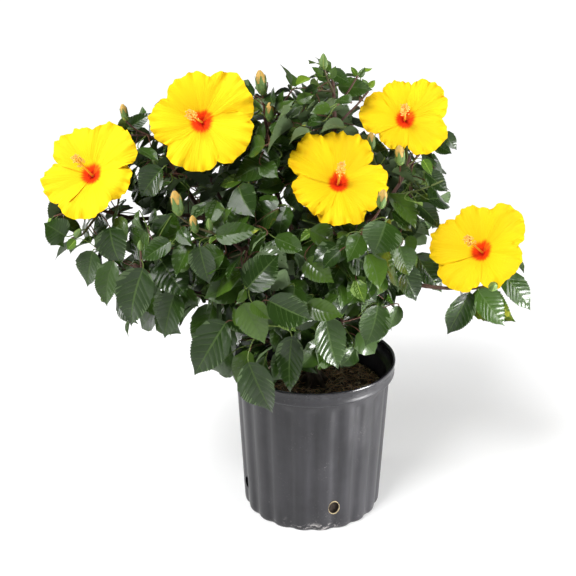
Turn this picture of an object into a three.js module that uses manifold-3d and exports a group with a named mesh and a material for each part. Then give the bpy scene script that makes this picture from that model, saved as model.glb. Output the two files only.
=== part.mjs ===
// Hibiscus shrub in a fluted nursery pot, in millimetres, +Z up.
// The origin is the centre of the pot's flat underside, the pot's axis is Z and the front is -Y.
import * as THREE from "three";
import { mergeVertices } from "three/addons/utils/BufferGeometryUtils.js";
import Module from "manifold-3d";

const wasm = await Module();
wasm.setup();

// Driving sizes of the pot and its filling.
const pot = {
  height: 260,
  rimRadius: 133,
  rimBand: 24, // height of the rolled band
  neckRadius: 124, // body just under the band
  baseRadius: 112,
  wall: 2.4,
  flutes: 20,
  fluteDepth: 2.8,
  fluteTurn: 18.5, // degrees from the front to the middle of a groove
  holes: 4,
  holeTurn: 18.5,
  holeHeight: 43,
  holeRadius: 8,
};
const gap = 0.3; // clear distance between pieces that meet
const soilTop = 212; // level of the potting mix at the stem
const soilPad = 26; // radius of the level patch round the root flare

// The main stem: points up its axis and its radius at each.
const trunk = {
  path: [
    [3, 0, 212],
    [3, 0, 219],
    [1, -1, 240],
    [-4, -3, 300],
    [6, 8, 400],
    [20, 26, 500],
    [27, 34, 575],
  ],
  radii: [17, 12.5, 11, 9.6, 7.6, 5.6, 4.2],
};

// One row per bough and the foliage mass at its tip.
// centre and half give the mass's own space, and crest is where its stem ends, from the centre.
// from and at tell what the bough springs from and how far along it. foot and tip are its radii.
// leaves is their count, leaf the range of blade lengths, and droop turns them down.
// shoots are the twigs that end at a chosen spot, with the length of the flower bud there, or 0 without one.
// leads are the leaves that make the outline seen from the front.
const masses = [
  {
    name: "top", centre: [32, 40, 655], half: [78, 80, 92], crest: [-6, 2, 48],
    from: "trunk", at: 1, foot: 4.2, tip: 4.2, leaves: 18, leaf: [42, 68], droop: 0.35, seed: 11,
    shoots: [[11, 20, 728, 18], [64, 40, 706, 0], [80, 44, 680, 0]],
    leads: [
      { base: [34, 50, 687], tip: [89, 50, 682], breadth: 27 },
      { base: [4, 30, 688], tip: [-18, 30, 680], breadth: 15 },
      { base: [22, 30, 712], tip: [52, 30, 697], breadth: 21 },
    ],
  },
  {
    name: "upper_centre", centre: [-80, 22, 600], half: [84, 88, 104], crest: [6, -14, 52],
    from: "trunk", at: 0.42, foot: 6, tip: 3.4, leaves: 19, leaf: [48, 80], droop: 0.5, seed: 23,
    shoots: [[-78, 0, 695, 27], [-66, -14, 655, 22], [-34, 10, 690, 0]],
    leads: [],
  },
  {
    name: "upper_left", centre: [-238, 34, 578], half: [84, 96, 92], crest: [6, -12, 48],
    from: "trunk", at: 0.3, foot: 7, tip: 3.4, leaves: 19, leaf: [52, 84], droop: 0.6, seed: 37,
    shoots: [[-286, 0, 650, 24], [-236, -38, 590, 12]],
    leads: [
      { base: [-222, -56, 588], tip: [-262, -50, 540], breadth: 41 },
      { base: [-282, 20, 628], tip: [-246, 20, 653], breadth: 21 },
    ],
  },
  {
    name: "far_left", centre: [-338, -20, 506], half: [84, 90, 70], crest: [-12, -6, 26],
    from: "upper_left", at: 0.72, foot: 3.6, tip: 2.8, leaves: 16, leaf: [54, 80], droop: 0.75, seed: 41,
    shoots: [[-362, -60, 480, 16], [-392, -34, 505, 0]],
    leads: [
      { base: [-373, -50, 479], tip: [-402, -60, 502], breadth: 42 },
    ],
  },
  {
    name: "left_low", centre: [-250, -66, 428], half: [102, 104, 108], crest: [-16, -22, 22],
    from: "trunk", at: 0.17, foot: 6.4, tip: 3.4, leaves: 23, leaf: [66, 100], droop: 1.0, seed: 53,
    shoots: [[-250, -122, 488, 12]],
    leads: [
      { base: [-204, -140, 506], tip: [-246, -150, 480], breadth: 31 },
      { base: [-247, -125, 459], tip: [-274, -135, 364], breadth: 58 },
      { base: [-204, -110, 415], tip: [-226, -120, 340], breadth: 47 },
      { base: [-298, -80, 452], tip: [-315, -90, 377], breadth: 36 },
      { base: [-332, -60, 460], tip: [-348, -62, 398], breadth: 38 },
      { base: [-302, -72, 502], tip: [-286, -90, 444], breadth: 48 },
    ],
  },
  {
    name: "centre", centre: [-112, -96, 484], half: [98, 92, 84], crest: [-18, -14, 24],
    from: "trunk", at: 0.34, foot: 5.4, tip: 3.4, leaves: 21, leaf: [60, 94], droop: 0.8, seed: 67,
    shoots: [[-200, -120, 545, 28], [-174, -132, 520, 20], [-150, -134, 524, 14]],
    leads: [
      { base: [-94, -168, 446], tip: [-50, -150, 494], breadth: 48 },
      { base: [-162, -150, 503], tip: [-150, -160, 446], breadth: 38 },
      { base: [-139, -140, 515], tip: [-74, -150, 531], breadth: 31 },
    ],
  },
  {
    name: "low_centre", centre: [-86, -116, 354], half: [104, 102, 126], crest: [-8, -30, 14],
    from: "trunk", at: 0.1, foot: 5.6, tip: 3.2, leaves: 25, leaf: [66, 100], droop: 1.25, seed: 71,
    shoots: [[-62, -166, 412, 18]],
    leads: [
      { base: [-95, -150, 321], tip: [-60, -158, 232], breadth: 54 },
      { base: [-127, -140, 381], tip: [-182, -150, 294], breadth: 56 },
      { base: [-31, -135, 357], tip: [-37, -146, 262], breadth: 41 },
      { base: [-64, -175, 431], tip: [1, -180, 400], breadth: 48 },
    ],
  },
  {
    name: "right_mid", centre: [64, -66, 470], half: [102, 92, 84], crest: [-10, -10, 26],
    from: "trunk", at: 0.5, foot: 5, tip: 3.4, leaves: 21, leaf: [58, 90], droop: 0.85, seed: 83,
    shoots: [[99, -106, 554, 24]],
    leads: [
      { base: [102, -130, 534], tip: [85, -145, 488], breadth: 55 },
      { base: [128, -58, 470], tip: [146, -66, 424], breadth: 38 },
    ],
  },
  {
    name: "right_low", centre: [36, -66, 350], half: [88, 96, 84], crest: [10, -22, 12],
    from: "trunk", at: 0.22, foot: 5.2, tip: 3.2, leaves: 21, leaf: [60, 92], droop: 1.15, seed: 97,
    shoots: [],
    leads: [
      { base: [132, -40, 366], tip: [118, -40, 320], breadth: 23 },
      { base: [18, -128, 384], tip: [42, -140, 301], breadth: 46 },
      { base: [96, -100, 392], tip: [80, -112, 326], breadth: 44 },
    ],
  },
  {
    name: "upper_right", centre: [150, 28, 546], half: [90, 96, 96], crest: [-4, 12, 36],
    from: "trunk", at: 0.6, foot: 5, tip: 3.2, leaves: 20, leaf: [50, 82], droop: 0.55, seed: 101,
    shoots: [[84, 24, 603, 20], [127, -22, 592, 25], [192, -16, 560, 0]],
    leads: [
      { base: [166, 0, 568], tip: [205, 0, 537], breadth: 27 },
      { base: [184, 84, 588], tip: [216, 80, 574], breadth: 22 },
    ],
  },
  {
    name: "far_right", centre: [248, -66, 400], half: [104, 88, 66], crest: [18, -6, 14],
    from: "right_mid", at: 0.28, foot: 4, tip: 2.6, leaves: 14, leaf: [58, 88], droop: 0.85, seed: 113,
    shoots: [[268, -92, 420, 14]],
    leads: [
      { base: [235, -70, 402], tip: [205, -80, 331], breadth: 41 },
      { base: [284, -60, 428], tip: [337, -60, 366], breadth: 36 },
      { base: [244, -90, 414], tip: [291, -100, 359], breadth: 42 },
    ],
  },
  {
    name: "back_left", centre: [-176, 168, 494], half: [122, 122, 112], crest: [-10, 20, 40],
    from: "trunk", at: 0.25, foot: 6.6, tip: 3.4, leaves: 21, leaf: [60, 94], droop: 0.75, seed: 127,
    shoots: [],
    leads: [],
  },
  {
    name: "back_right", centre: [112, 186, 470], half: [112, 116, 116], crest: [8, 18, 40],
    from: "trunk", at: 0.38, foot: 6.2, tip: 3.4, leaves: 21, leaf: [60, 94], droop: 0.75, seed: 131,
    shoots: [],
    leads: [],
  },
  {
    name: "back_centre", centre: [-26, 176, 572], half: [106, 100, 88], crest: [4, 10, 38],
    from: "trunk", at: 0.66, foot: 4.6, tip: 3.2, leaves: 18, leaf: [54, 88], droop: 0.55, seed: 149,
    shoots: [],
    leads: [],
  },
  {
    name: "back_low", centre: [-34, 176, 366], half: [116, 104, 92], crest: [0, 24, 16],
    from: "trunk", at: 0.14, foot: 5.4, tip: 3.2, leaves: 20, leaf: [62, 94], droop: 1.15, seed: 151,
    shoots: [],
    leads: [],
  },
];

// Open blooms: the middle of the disc, the way it faces as turn from the front (to the right) and lift, its
// radius, and the stem its stalk springs from.
const blooms = [
  {
    name: "bloom_upper_left", centre: [-168, -33, 653], turn: -4, lift: 19, radius: 75,
    on: "upper_centre", at: 0.45, roll: 10,
  },
  {
    name: "bloom_far_left", centre: [-338, -32, 577], turn: -15, lift: 38, radius: 72,
    on: "far_left", at: 0.55, roll: 40,
  },
  {
    name: "bloom_centre", centre: [37, -41, 570], turn: 6, lift: 41, radius: 70,
    on: "right_mid", at: 0.4, roll: 25,
  },
  {
    name: "bloom_upper_right", centre: [138, 48, 641], turn: 0, lift: 31, radius: 66,
    on: "upper_right", at: 0.8, roll: 55,
  },
  {
    name: "bloom_far_right", centre: [244, -52, 466], turn: -34, lift: 34, radius: 71,
    on: "far_right", at: 0.8, roll: 5,
  },
  {
    name: "bloom_back_left", centre: [-178, 286, 588], turn: 205, lift: 34, radius: 66,
    on: "back_left", at: 0.85, roll: 30,
  },
  {
    name: "bloom_back_right", centre: [158, 272, 576], turn: 158, lift: 40, radius: 62,
    on: "back_right", at: 0.85, roll: 15,
  },
  {
    name: "bloom_back_centre", centre: [24, 300, 488], turn: 178, lift: 28, radius: 64,
    on: "back_centre", at: 0.3, roll: 50,
  },
];
const bloomCup = 30; // from the disc down to the calyx
const bloomFoot = 42; // from the disc down to the stalk's end
const stalkRadius = 1.7;
const twigRadius = 1.8;
const petioleRadius = 0.8;
const leafKeel = 1.5; // depth of a blade under its midrib
const spaceMargin = 0.7; // clear distance to the border of a mass's space

const v = (x, y, z) => new THREE.Vector3(x, y, z);
const vec = (a) => v(a[0], a[1], a[2]);
const upward = v(0, 0, 1);
const rad = (degrees) => (degrees * Math.PI) / 180;
const heart = v(0, 0, 400); // the leaves face away from this
const mix = (a, b, t) => a + (b - a) * t;
const moved = (p, ...steps) => steps.reduce((q, [way, far]) => q.addScaledVector(way, far), p.clone());
const heading = (turn, lift) => v(
  Math.sin(rad(turn)) * Math.cos(rad(lift)), -Math.cos(rad(turn)) * Math.cos(rad(lift)), Math.sin(rad(lift)),
);

// A repeatable run of numbers from 0 to 1.
function stream(seed) {
  let state = seed;
  return () => {
    state = (Math.imul(state, 1664525) + 1013904223) >>> 0;
    return state / 4294967296;
  };
}

// Solids.
function solidFrom(positions, faces) {
  let volume = 0;
  for (const [a, b, c] of faces) volume += positions[a].dot(positions[b].clone().cross(positions[c]));
  const corners = faces.flatMap(([a, b, c]) => (volume < 0 ? [a, c, b] : [a, b, c]));
  return solidOf(new THREE.BufferGeometry().setFromPoints(corners.map((i) => positions[i])));
}

function solidOf(geometry) {
  const loose = geometry.index ? geometry.toNonIndexed() : geometry;
  const bare = new THREE.BufferGeometry().setAttribute("position", loose.getAttribute("position"));
  const merged = mergeVertices(bare, 1e-3);
  const vertProperties = merged.attributes.position.array;
  const triVerts = new Uint32Array(merged.index.array);
  return new wasm.Manifold(new wasm.Mesh({ numProp: 3, vertProperties, triVerts }));
}

function geometryOf(solid) {
  const mesh = solid.getMesh();
  return new THREE.BufferGeometry()
    .setAttribute("position", new THREE.BufferAttribute(new Float32Array(mesh.vertProperties), 3))
    .setIndex(new THREE.BufferAttribute(new Uint32Array(mesh.triVerts), 1));
}

// A closed skin over rings of points, which may differ in number; a ring of one point closes an end to a tip.
function skin(rings) {
  const positions = rings.flat();
  const faces = [];
  let start = 0;
  rings.forEach((ring, k) => {
    const n = ring.length;
    if (k === 0) for (let i = 1; i < n - 1; i++) faces.push([start, start + i, start + i + 1]);
    if (k === rings.length - 1) {
      for (let i = 1; i < n - 1; i++) faces.push([start, start + i + 1, start + i]);
    } else {
      const next = start + n;
      const m = rings[k + 1].length;
      let i = 0, j = 0;
      while ((n > 1 && i < n) || (m > 1 && j < m)) {
        const a = start + (i % n), b = next + (j % m);
        if (m === 1 || (n > 1 && (i + 1) / n <= (j + 1) / m)) faces.push([a, b, start + (++i % n)]);
        else faces.push([a, b, next + (++j % m)]);
      }
    }
    start += n;
  });
  return solidFrom(positions, faces);
}

// A direction square to a given one, as near as can be to the one before it.
function frameAt(direction, before) {
  if (before) return moved(before, [direction, -before.dot(direction)]).normalize();
  return (Math.abs(direction.z) < 0.9 ? v(0, 0, 1) : v(1, 0, 0)).cross(direction).normalize();
}

// The rings of a tapering round limb along points.
function tubeRings(points, radii, sides) {
  let side = null;
  return points.map((p, i) => {
    const ahead = points[Math.min(i + 1, points.length - 1)];
    const direction = ahead.clone().sub(points[Math.max(i - 1, 0)]).normalize();
    side = frameAt(direction, side);
    const other = direction.clone().cross(side);
    return Array.from({ length: sides }, (_, k) => {
      const a = (2 * Math.PI * k) / sides;
      return moved(p, [side, radii[i] * Math.cos(a)], [other, radii[i] * Math.sin(a)]);
    });
  });
}

const tube = (points, radii, sides) => skin(tubeRings(points, radii, sides));

const joined = (solids) => solids.reduce((whole, piece) => whole.add(piece));

// Limbs: a path is its points and its radii.
function bezier(a, b, c, d, n) {
  return Array.from({ length: n + 1 }, (_, i) => {
    const t = i / n, s = 1 - t;
    return moved(v(0, 0, 0), [a, s * s * s], [b, 3 * s * s * t], [c, 3 * s * t * t], [d, t * t * t]);
  });
}

function along(path, t) {
  const lengths = path.points.slice(1).map((p, i) => p.distanceTo(path.points[i]));
  let left = t * lengths.reduce((a, b) => a + b, 0);
  let i = 0;
  while (i < lengths.length - 1 && left > lengths[i]) left -= lengths[i++];
  const share = Math.min(left / lengths[i], 1);
  return {
    point: path.points[i].clone().lerp(path.points[i + 1], share),
    direction: path.points[i + 1].clone().sub(path.points[i]).normalize(),
    radius: mix(path.radii[i], path.radii[i + 1], share),
  };
}

const limbs = {}; // the trunk and boughs by name
const stems = {}; // each mass's own stem by name
limbs.trunk = { points: trunk.path.map(vec), radii: trunk.radii };

for (const m of masses) {
  const root = along(limbs[m.from], m.at);
  const centre = vec(m.centre);
  const crest = centre.clone().add(vec(m.crest));
  const size = (m.half[0] + m.half[1] + m.half[2]) / 3;
  let entry;
  if (m.at === 1) {
    entry = root.point.clone();
  } else {
    entry = centre.clone().addScaledVector(centre.clone().sub(root.point).normalize(), -0.5 * size);
    const reach = entry.distanceTo(root.point);
    const leave = moved(entry.clone().sub(root.point).normalize(), [upward, 0.45], [root.direction, 0.4]);
    leave.normalize();
    const arrive = crest.clone().sub(entry).normalize();
    const points = bezier(
      root.point, moved(root.point, [leave, 0.35 * reach]), moved(entry, [arrive, -0.3 * reach]), entry, 4,
    );
    limbs[m.name] = { points, radii: points.map((_, i) => mix(m.foot, m.tip, Math.sqrt(i / 4))) };
  }
  const lead = along(limbs[m.at === 1 ? "trunk" : m.name], 1).direction;
  const start = entry.clone().addScaledVector(lead, gap + 0.05);
  const middle = start.clone().addScaledVector(lead, 0.4 * start.distanceTo(crest));
  const points = bezier(start, middle, middle.clone().lerp(crest, 0.5), crest, 3);
  stems[m.name] = { points, radii: points.map((_, i) => mix(m.tip, 2.1, i / 3)) };
}

for (const b of blooms) {
  const root = along(stems[b.on], b.at);
  const face = heading(b.turn, b.lift);
  const end = vec(b.centre).addScaledVector(face, -bloomFoot);
  const reach = end.distanceTo(root.point);
  const leave = end.clone().sub(root.point).normalize().addScaledVector(root.direction, 0.3).normalize();
  const points = bezier(
    root.point, moved(root.point, [leave, 0.35 * reach]), moved(end, [face, -0.35 * reach]), end, 4,
  );
  b.stalk = { points, radii: points.map((_, i) => mix(stalkRadius + 0.4, stalkRadius, i / 4)) };
  b.face = face;
}

// What a leaf or twig keeps clear of.
function segmentsOf(path) {
  return path.points.slice(1).map(
    (p, i) => ({ a: path.points[i], b: p, r: Math.max(path.radii[i], path.radii[i + 1]) })
  );
}

function apart(p, q, a, b) {
  // shortest distance between the segments p-q and a-b
  const u = q.clone().sub(p), w = b.clone().sub(a), o = p.clone().sub(a);
  const uu = u.dot(u), uw = u.dot(w), ww = w.dot(w), uo = u.dot(o), wo = w.dot(o);
  const det = uu * ww - uw * uw;
  let s = det > 1e-9 ? Math.min(Math.max((uw * wo - ww * uo) / det, 0), 1) : 0;
  const t = Math.min(Math.max((uw * s + wo) / ww, 0), 1);
  s = Math.min(Math.max((uw * t - uo) / uu, 0), 1);
  return o.addScaledVector(u, s).addScaledVector(w, -t).length();
}

// Whether a point is in a bloom or in the clear view in front of it.
function inBloom(p) {
  return blooms.some((b) => {
    const q = p.clone().sub(vec(b.centre));
    const ahead = q.dot(b.face);
    const off = q.addScaledVector(b.face, -ahead).length();
    if (ahead <= -bloomCup - 4) return ahead > -bloomFoot - 6 && off < 13;
    return ahead < 170 && off < b.radius + 5 + 0.18 * Math.max(ahead, 0);
  });
}

function inPot(p) {
  const r = Math.hypot(p.x, p.y);
  return (p.z < pot.height + 5 && r > 117 && r < pot.rimRadius + 4)
    || (p.z < soilTop + 8 && r < pot.rimRadius + 4)
    || p.z < 150;
}

const buds = masses.flatMap(
  (m) => m.shoots.filter((s) => s[3] > 0).map((s) => ({ mass: m.name, tip: vec(s) }))
);

function inBud(p, own) {
  return buds.some((b) => {
    const q = p.clone().sub(b.tip);
    return q.y < 6 && q.y > -70 && Math.hypot(q.x, q.z) < (b.mass === own ? 12 : 9);
  });
}

// Whether a point is in a mass's own space: its oval, cut by flat borders towards its neighbours.
function inSpace(m, p) {
  const centre = vec(m.centre);
  const q = p.clone().sub(centre);
  if ((q.x / m.half[0]) ** 2 + (q.y / m.half[1]) ** 2 + (q.z / m.half[2]) ** 2 > 1) return false;
  const weight = (k) => ((k.half[0] + k.half[1] + k.half[2]) / 3) ** 2;
  return masses.every((other) => {
    if (other === m) return true;
    const far = vec(other.centre);
    const lead = p.distanceToSquared(far) - weight(other) - (p.distanceToSquared(centre) - weight(m));
    return lead > 2 * spaceMargin * centre.distanceTo(far);
  });
}

// Leaves.
// A leaf from its attachment: petiole, then a blade whose midrib curls down towards the tip.
function leafFrom(spot, base, blade, width, way, face, curl) {
  const petioleWay = base.clone().sub(spot).normalize();
  const side = way.clone().cross(face).normalize();
  const upper = side.clone().cross(way).normalize();
  const turned = (a) => way.clone().multiplyScalar(Math.cos(a)).addScaledVector(upper, -Math.sin(a));
  const wide = base.clone().addScaledVector(way, 0.36 * blade);
  const far = wide.clone().addScaledVector(turned(curl * 0.6), 0.33 * blade);
  const tip = far.clone().addScaledVector(turned(curl), 0.31 * blade);
  return { spot, petioleWay, base, wide, far, tip, side, upper, blade, width, way, curl };
}

const leafPoints = (l) => [
  l.base.clone().lerp(l.spot, 0.5), l.base, l.wide, l.far, l.tip,
  moved(l.wide, [l.side, l.width / 2]), moved(l.wide, [l.side, -l.width / 2]),
  moved(l.far, [l.side, 0.33 * l.width]), moved(l.far, [l.side, -0.33 * l.width]),
];

const leafLines = (l) => {
  const [, base, wide, far, tip, left, right, farLeft, farRight] = leafPoints(l);
  return [
    [base, wide], [wide, far], [far, tip],
    [base, left], [left, farLeft], [farLeft, tip],
    [base, right], [right, farRight], [farRight, tip],
  ];
};

// Whether the line a-b comes within pad of the blade's oval.
function meetsBlade(l, a, b, pad) {
  const middle = l.base.clone().lerp(l.tip, 0.45);
  const test = (p) => {
    const q = p.clone().sub(middle);
    const along = q.dot(l.way) / (0.52 * l.blade + pad), across = q.dot(l.side) / (l.width / 2 + pad);
    return { n: q.dot(l.upper), in: along ** 2 + across ** 2 < 1 };
  };
  const ta = test(a), tb = test(b);
  if ((ta.in && Math.abs(ta.n) < pad) || (tb.in && Math.abs(tb.n) < pad)) return true;
  if (ta.n * tb.n >= 0) return false;
  return test(a.clone().lerp(b, ta.n / (ta.n - tb.n))).in;
}

// Whether the lines of one leaf meet the blade of another.
const crosses = (one, other) =>
  [...leafLines(one), [one.spot, one.base]].some(([a, b]) => meetsBlade(other, a, b, 2));

const stalks = blooms.map((b) => b.stalk);
const fixed = [...Object.values(limbs), ...Object.values(stems), ...stalks].flatMap(segmentsOf);

// Where a leaf or twig that reaches for p springs from its mass's own wood: a little below the nearest point.
function nearestWood(wood, p) {
  let best = null;
  for (const s of wood) {
    const line = s.b.clone().sub(s.a), long = line.length();
    const t = Math.min(Math.max(p.clone().sub(s.a).dot(line) / (long * long), 0), 1);
    const away = s.a.clone().addScaledVector(line, t).distanceTo(p);
    if (!best || away < best.away) best = { away, s, t, long };
  }
  const edge = Math.min(3 / best.long, 0.5);
  const back = Math.min(Math.max(best.t - (0.4 * best.away) / best.long, edge), 1 - edge);
  const root = best.s.a.clone().lerp(best.s.b, back);
  return { root, away: root.distanceTo(p) };
}

function growMass(m, wanted) {
  const draw = stream(m.seed);
  const centre = vec(m.centre);
  const stem = stems[m.name];
  const near = fixed.filter((s) => s.a.distanceTo(centre) < 280 || s.b.distanceTo(centre) < 280);
  const own = new Set(segmentsOf(stem).map((s) => s.a));
  const others = near.filter((s) => !own.has(s.a));
  const wood = segmentsOf(stem);
  const twigs = [];
  const leaves = [];

  // the chosen shoots first
  for (const [x, y, z, bud] of m.shoots) {
    const end = v(x, y, z);
    const { root } = nearestWood(wood.slice(0, 3), end.clone().addScaledVector(upward, -40));
    const reach = end.distanceTo(root);
    const rise = end.clone().sub(root).normalize();
    const arrive = rise.clone().addScaledVector(upward, bud > 0 ? 0.9 : 0.2).normalize();
    const bend = 0.35 * reach;
    const points = bezier(root, moved(root, [rise, bend]), moved(end, [arrive, -bend]), end, 3);
    const shoot = { points, radii: points.map((_, i) => mix(twigRadius + 0.5, 1.5, i / 3)), bud };
    twigs.push(shoot);
    wood.push(...segmentsOf(shoot).slice(0, bud > 0 ? 2 : 3));
  }

  const open = (p) => inSpace(m, p) && !inPot(p) && !inBloom(p) && !inBud(p, m.name);
  const freeOf = (a, b, r) => wood.every((s) => apart(a, b, s.a, s.b) > s.r + r + 0.5)
    && leaves.every((o) => apart(a, b, o.spot, o.base) > petioleRadius + r + 0.9);

  for (const lead of m.leads) {
    const base = vec(lead.base), way = vec(lead.tip).sub(base);
    const long = way.length();
    way.normalize();
    const { root, away } = nearestWood(wood, base);
    let from = root;
    if (away > 64) {
      const end = base.clone().lerp(root, 30 / away).addScaledVector(upward, 3);
      const twig = { points: [root, end], radii: [twigRadius + 0.2, twigRadius - 0.2], bud: 0 };
      twigs.push(twig);
      wood.push(...segmentsOf(twig));
      from = end.clone().addScaledVector(end.clone().sub(root).normalize(), -2.5);
    }
    leaves.push(leafFrom(from, base, long, lead.breadth, way, v(0.25 * Math.sign(base.x), -1, 0.45), 0.25));
  }

  // then leaf after leaf: of some spots drawn in the space, the farthest from the leaves so far that has room
  const tryLeaf = (spot) => {
    const blade = mix(m.leaf[0], m.leaf[1], spot.size);
    const outward = spot.p.clone().sub(heart).normalize();
    for (let attempt = 0; attempt < 6; attempt++) {
      const long = blade * (1 - 0.05 * attempt);
      const swing = 1.5 * (spot.swing - 0.5) + [0, 0.6, -0.6, 1.2, -1.2, 2.2][attempt];
      const flat = v(outward.x, outward.y, 0).normalize();
      const way = v(
        flat.x * Math.cos(swing) - flat.y * Math.sin(swing),
        flat.x * Math.sin(swing) + flat.y * Math.cos(swing),
        0.45 - 1.35 * m.droop * mix(0.65, 1.35, spot.droop),
      ).normalize();
      const yaw = 2.6 * (spot.roll - 0.5);
      const face = v(
        flat.x * Math.cos(yaw) - flat.y * Math.sin(yaw), flat.x * Math.sin(yaw) + flat.y * Math.cos(yaw),
        0.75,
      );
      if (face.clone().cross(way).length() < 0.25) continue;
      const base = spot.p.clone().addScaledVector(way, -0.45 * long);
      const { root, away } = nearestWood(wood, base);
      if (away < 12) continue;
      let from = root, twig = null;
      if (away > 64) {
        const end = base.clone().lerp(root, 30 / away).addScaledVector(upward, 3);
        const rise = end.clone().sub(root).normalize();
        twig = { points: [root, end], radii: [twigRadius + 0.2, twigRadius - 0.2], bud: 0 };
        const middle = root.clone().lerp(end, 0.5);
        if (![middle, end].every(open)) continue;
        if (others.some((s) => apart(root, end, s.a, s.b) < s.r + twigRadius + 1.5)) continue;
        if (leaves.some((o) => meetsBlade(o, root, end, 3))) continue;
        if (!freeOf(root.clone().addScaledVector(rise, 8), end, twigRadius)) continue;
        from = end.clone().addScaledVector(rise, -2.5);
      }
      if (!freeOf(moved(from, [base.clone().sub(from).normalize(), 7]), base, petioleRadius + 0.5)) continue;
      const breadth = long * mix(0.62, 0.74, spot.breadth);
      const leaf = leafFrom(from, base, long, breadth, way, face, mix(0.15, 0.6, spot.curl));
      if (!leafPoints(leaf).every(open)) continue;
      if (near.some((s) => meetsBlade(leaf, s.a, s.b, s.r + 1.5))) continue;
      if (others.some((s) => apart(from, base, s.a, s.b) < s.r + petioleRadius + 1.2)) continue;
      if (wood.some((s) => meetsBlade(leaf, s.a, s.b, 3))) continue;
      if (leaves.some((o) => crosses(leaf, o) || crosses(o, leaf))) continue;
      return { leaf, twig };
    }
    return null;
  };
  for (let n = leaves.length; n < wanted; n++) {
    const spots = Array.from({ length: 12 }, () => {
      const lift = 2 * draw() - 1, turn = 2 * Math.PI * draw(), reach = mix(0.25, 0.92, Math.sqrt(draw()));
      const flat = Math.sqrt(1 - lift * lift);
      const ray = v(flat * Math.cos(turn), flat * Math.sin(turn), lift).multiplyScalar(reach);
      const p = centre.clone().add(ray.multiply(vec(m.half)));
      const free = leaves.reduce((least, l) => Math.min(least, l.wide.distanceTo(p)), 1e3);
      const [size, breadth, swing, droop, roll, curl] = Array.from({ length: 6 }, draw);
      return { p, free, size, breadth, swing, droop, roll, curl };
    });
    spots.sort((a, b) => b.free - a.free);
    for (const spot of spots) {
      if (!inSpace(m, spot.p)) continue;
      const made = tryLeaf(spot);
      if (!made) continue;
      if (made.twig) {
        twigs.push(made.twig);
        wood.push(...segmentsOf(made.twig));
      }
      leaves.push(made.leaf);
      break;
    }
  }
  return { twigs, leaves };
}

function leafSolid(l) {
  const side = l.side.clone().addScaledVector(l.petioleWay, -l.side.dot(l.petioleWay)).normalize();
  const below = l.petioleWay.clone().cross(side).normalize();
  const around = (p, r) => [moved(p, [side, r]), moved(p, [side, -r]), moved(p, [below, 1.3 * r])];
  const corners = [[l.side, l.width / 2], [l.side, -l.width / 2], [l.upper, -leafKeel]];
  const wide = corners.map((step) => moved(l.wide, step));
  return skin([around(l.spot, petioleRadius), around(l.base, petioleRadius + 0.5), wide, [l.tip]]);
}

function budSolid(tip, way, length) {
  const foot = tip.clone().addScaledVector(way, -2);
  const side = frameAt(way);
  const other = way.clone().cross(side);
  const ring = (share, r) => Array.from({ length: 4 }, (_, k) => {
    const a = (Math.PI * k) / 2;
    return moved(foot, [way, share * length], [side, r * Math.cos(a)], [other, r * Math.sin(a)]);
  });
  const top = foot.clone().addScaledVector(way, length);
  return skin([[foot], ring(0.3, 0.27 * length), ring(0.66, 0.22 * length), [top]]);
}

// An open bloom: funnel of five overlapping petals, column, calyx and stalk, fused.
function bloomSolid(b) {
  const face = b.face;
  const centre = vec(b.centre);
  const side = upward.clone().cross(face).normalize();
  const high = face.clone().cross(side);
  const place = (a, r, h, lift = 0) =>
    moved(centre, [side, r * Math.cos(a)], [high, r * Math.sin(a) + lift], [face, h]);
  const sectors = 15;
  const round = (n, r, h, lift = 0) =>
    Array.from({ length: n }, (_, k) => place((2 * Math.PI * k) / n, r, h, lift));
  const petals = (share, h) => Array.from({ length: sectors }, (_, k) => {
    const a = (2 * Math.PI * k) / sectors;
    const lobe = 1 + 0.04 * share * Math.cos(5 * a + rad(b.roll));
    const wave = 3.5 * share * share * Math.sin(7 * a + b.roll);
    return place(a, b.radius * share * lobe, h + wave);
  });
  // the stalk's rings turn with the calyx, so that the skin doesn't twist
  const { points, radii } = b.stalk;
  const stalk = points.slice(0, -1).map((p, i) => {
    const way = points[i + 1].clone().sub(points[Math.max(i - 1, 0)]).normalize();
    const one = frameAt(way, side);
    const two = way.clone().cross(one);
    const turns = [0, 1, 2, 3].map((k) => (Math.PI * k) / 2);
    return turns.map((a) => moved(p, [one, radii[i] * Math.cos(a)], [two, radii[i] * Math.sin(a)]));
  });
  return skin([
    ...stalk,
    round(5, 3.4, -bloomFoot),
    round(5, 7.4, -bloomFoot + 5),
    round(5, 6.6, -bloomCup - 2),
    petals(0.45, -11),
    petals(0.8, -3.2),
    petals(1, 0),
    petals(0.8, -1.4),
    petals(0.45, -9),
    round(5, 4.2, -bloomCup + 3),
    round(4, 2.2, -bloomCup + 4),
    round(4, 2.2, 6, 2),
    round(4, 4.4, 24, 6),
    [place(0, 0, 36, 9)],
  ]);
}

// The pot.
const bodyRadius = (z) => mix(pot.baseRadius, pot.neckRadius, Math.min(z / (pot.height - pot.rimBand), 1));
const innerRadius = (z) => bodyRadius(z) - pot.fluteDepth - pot.wall;

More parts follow.
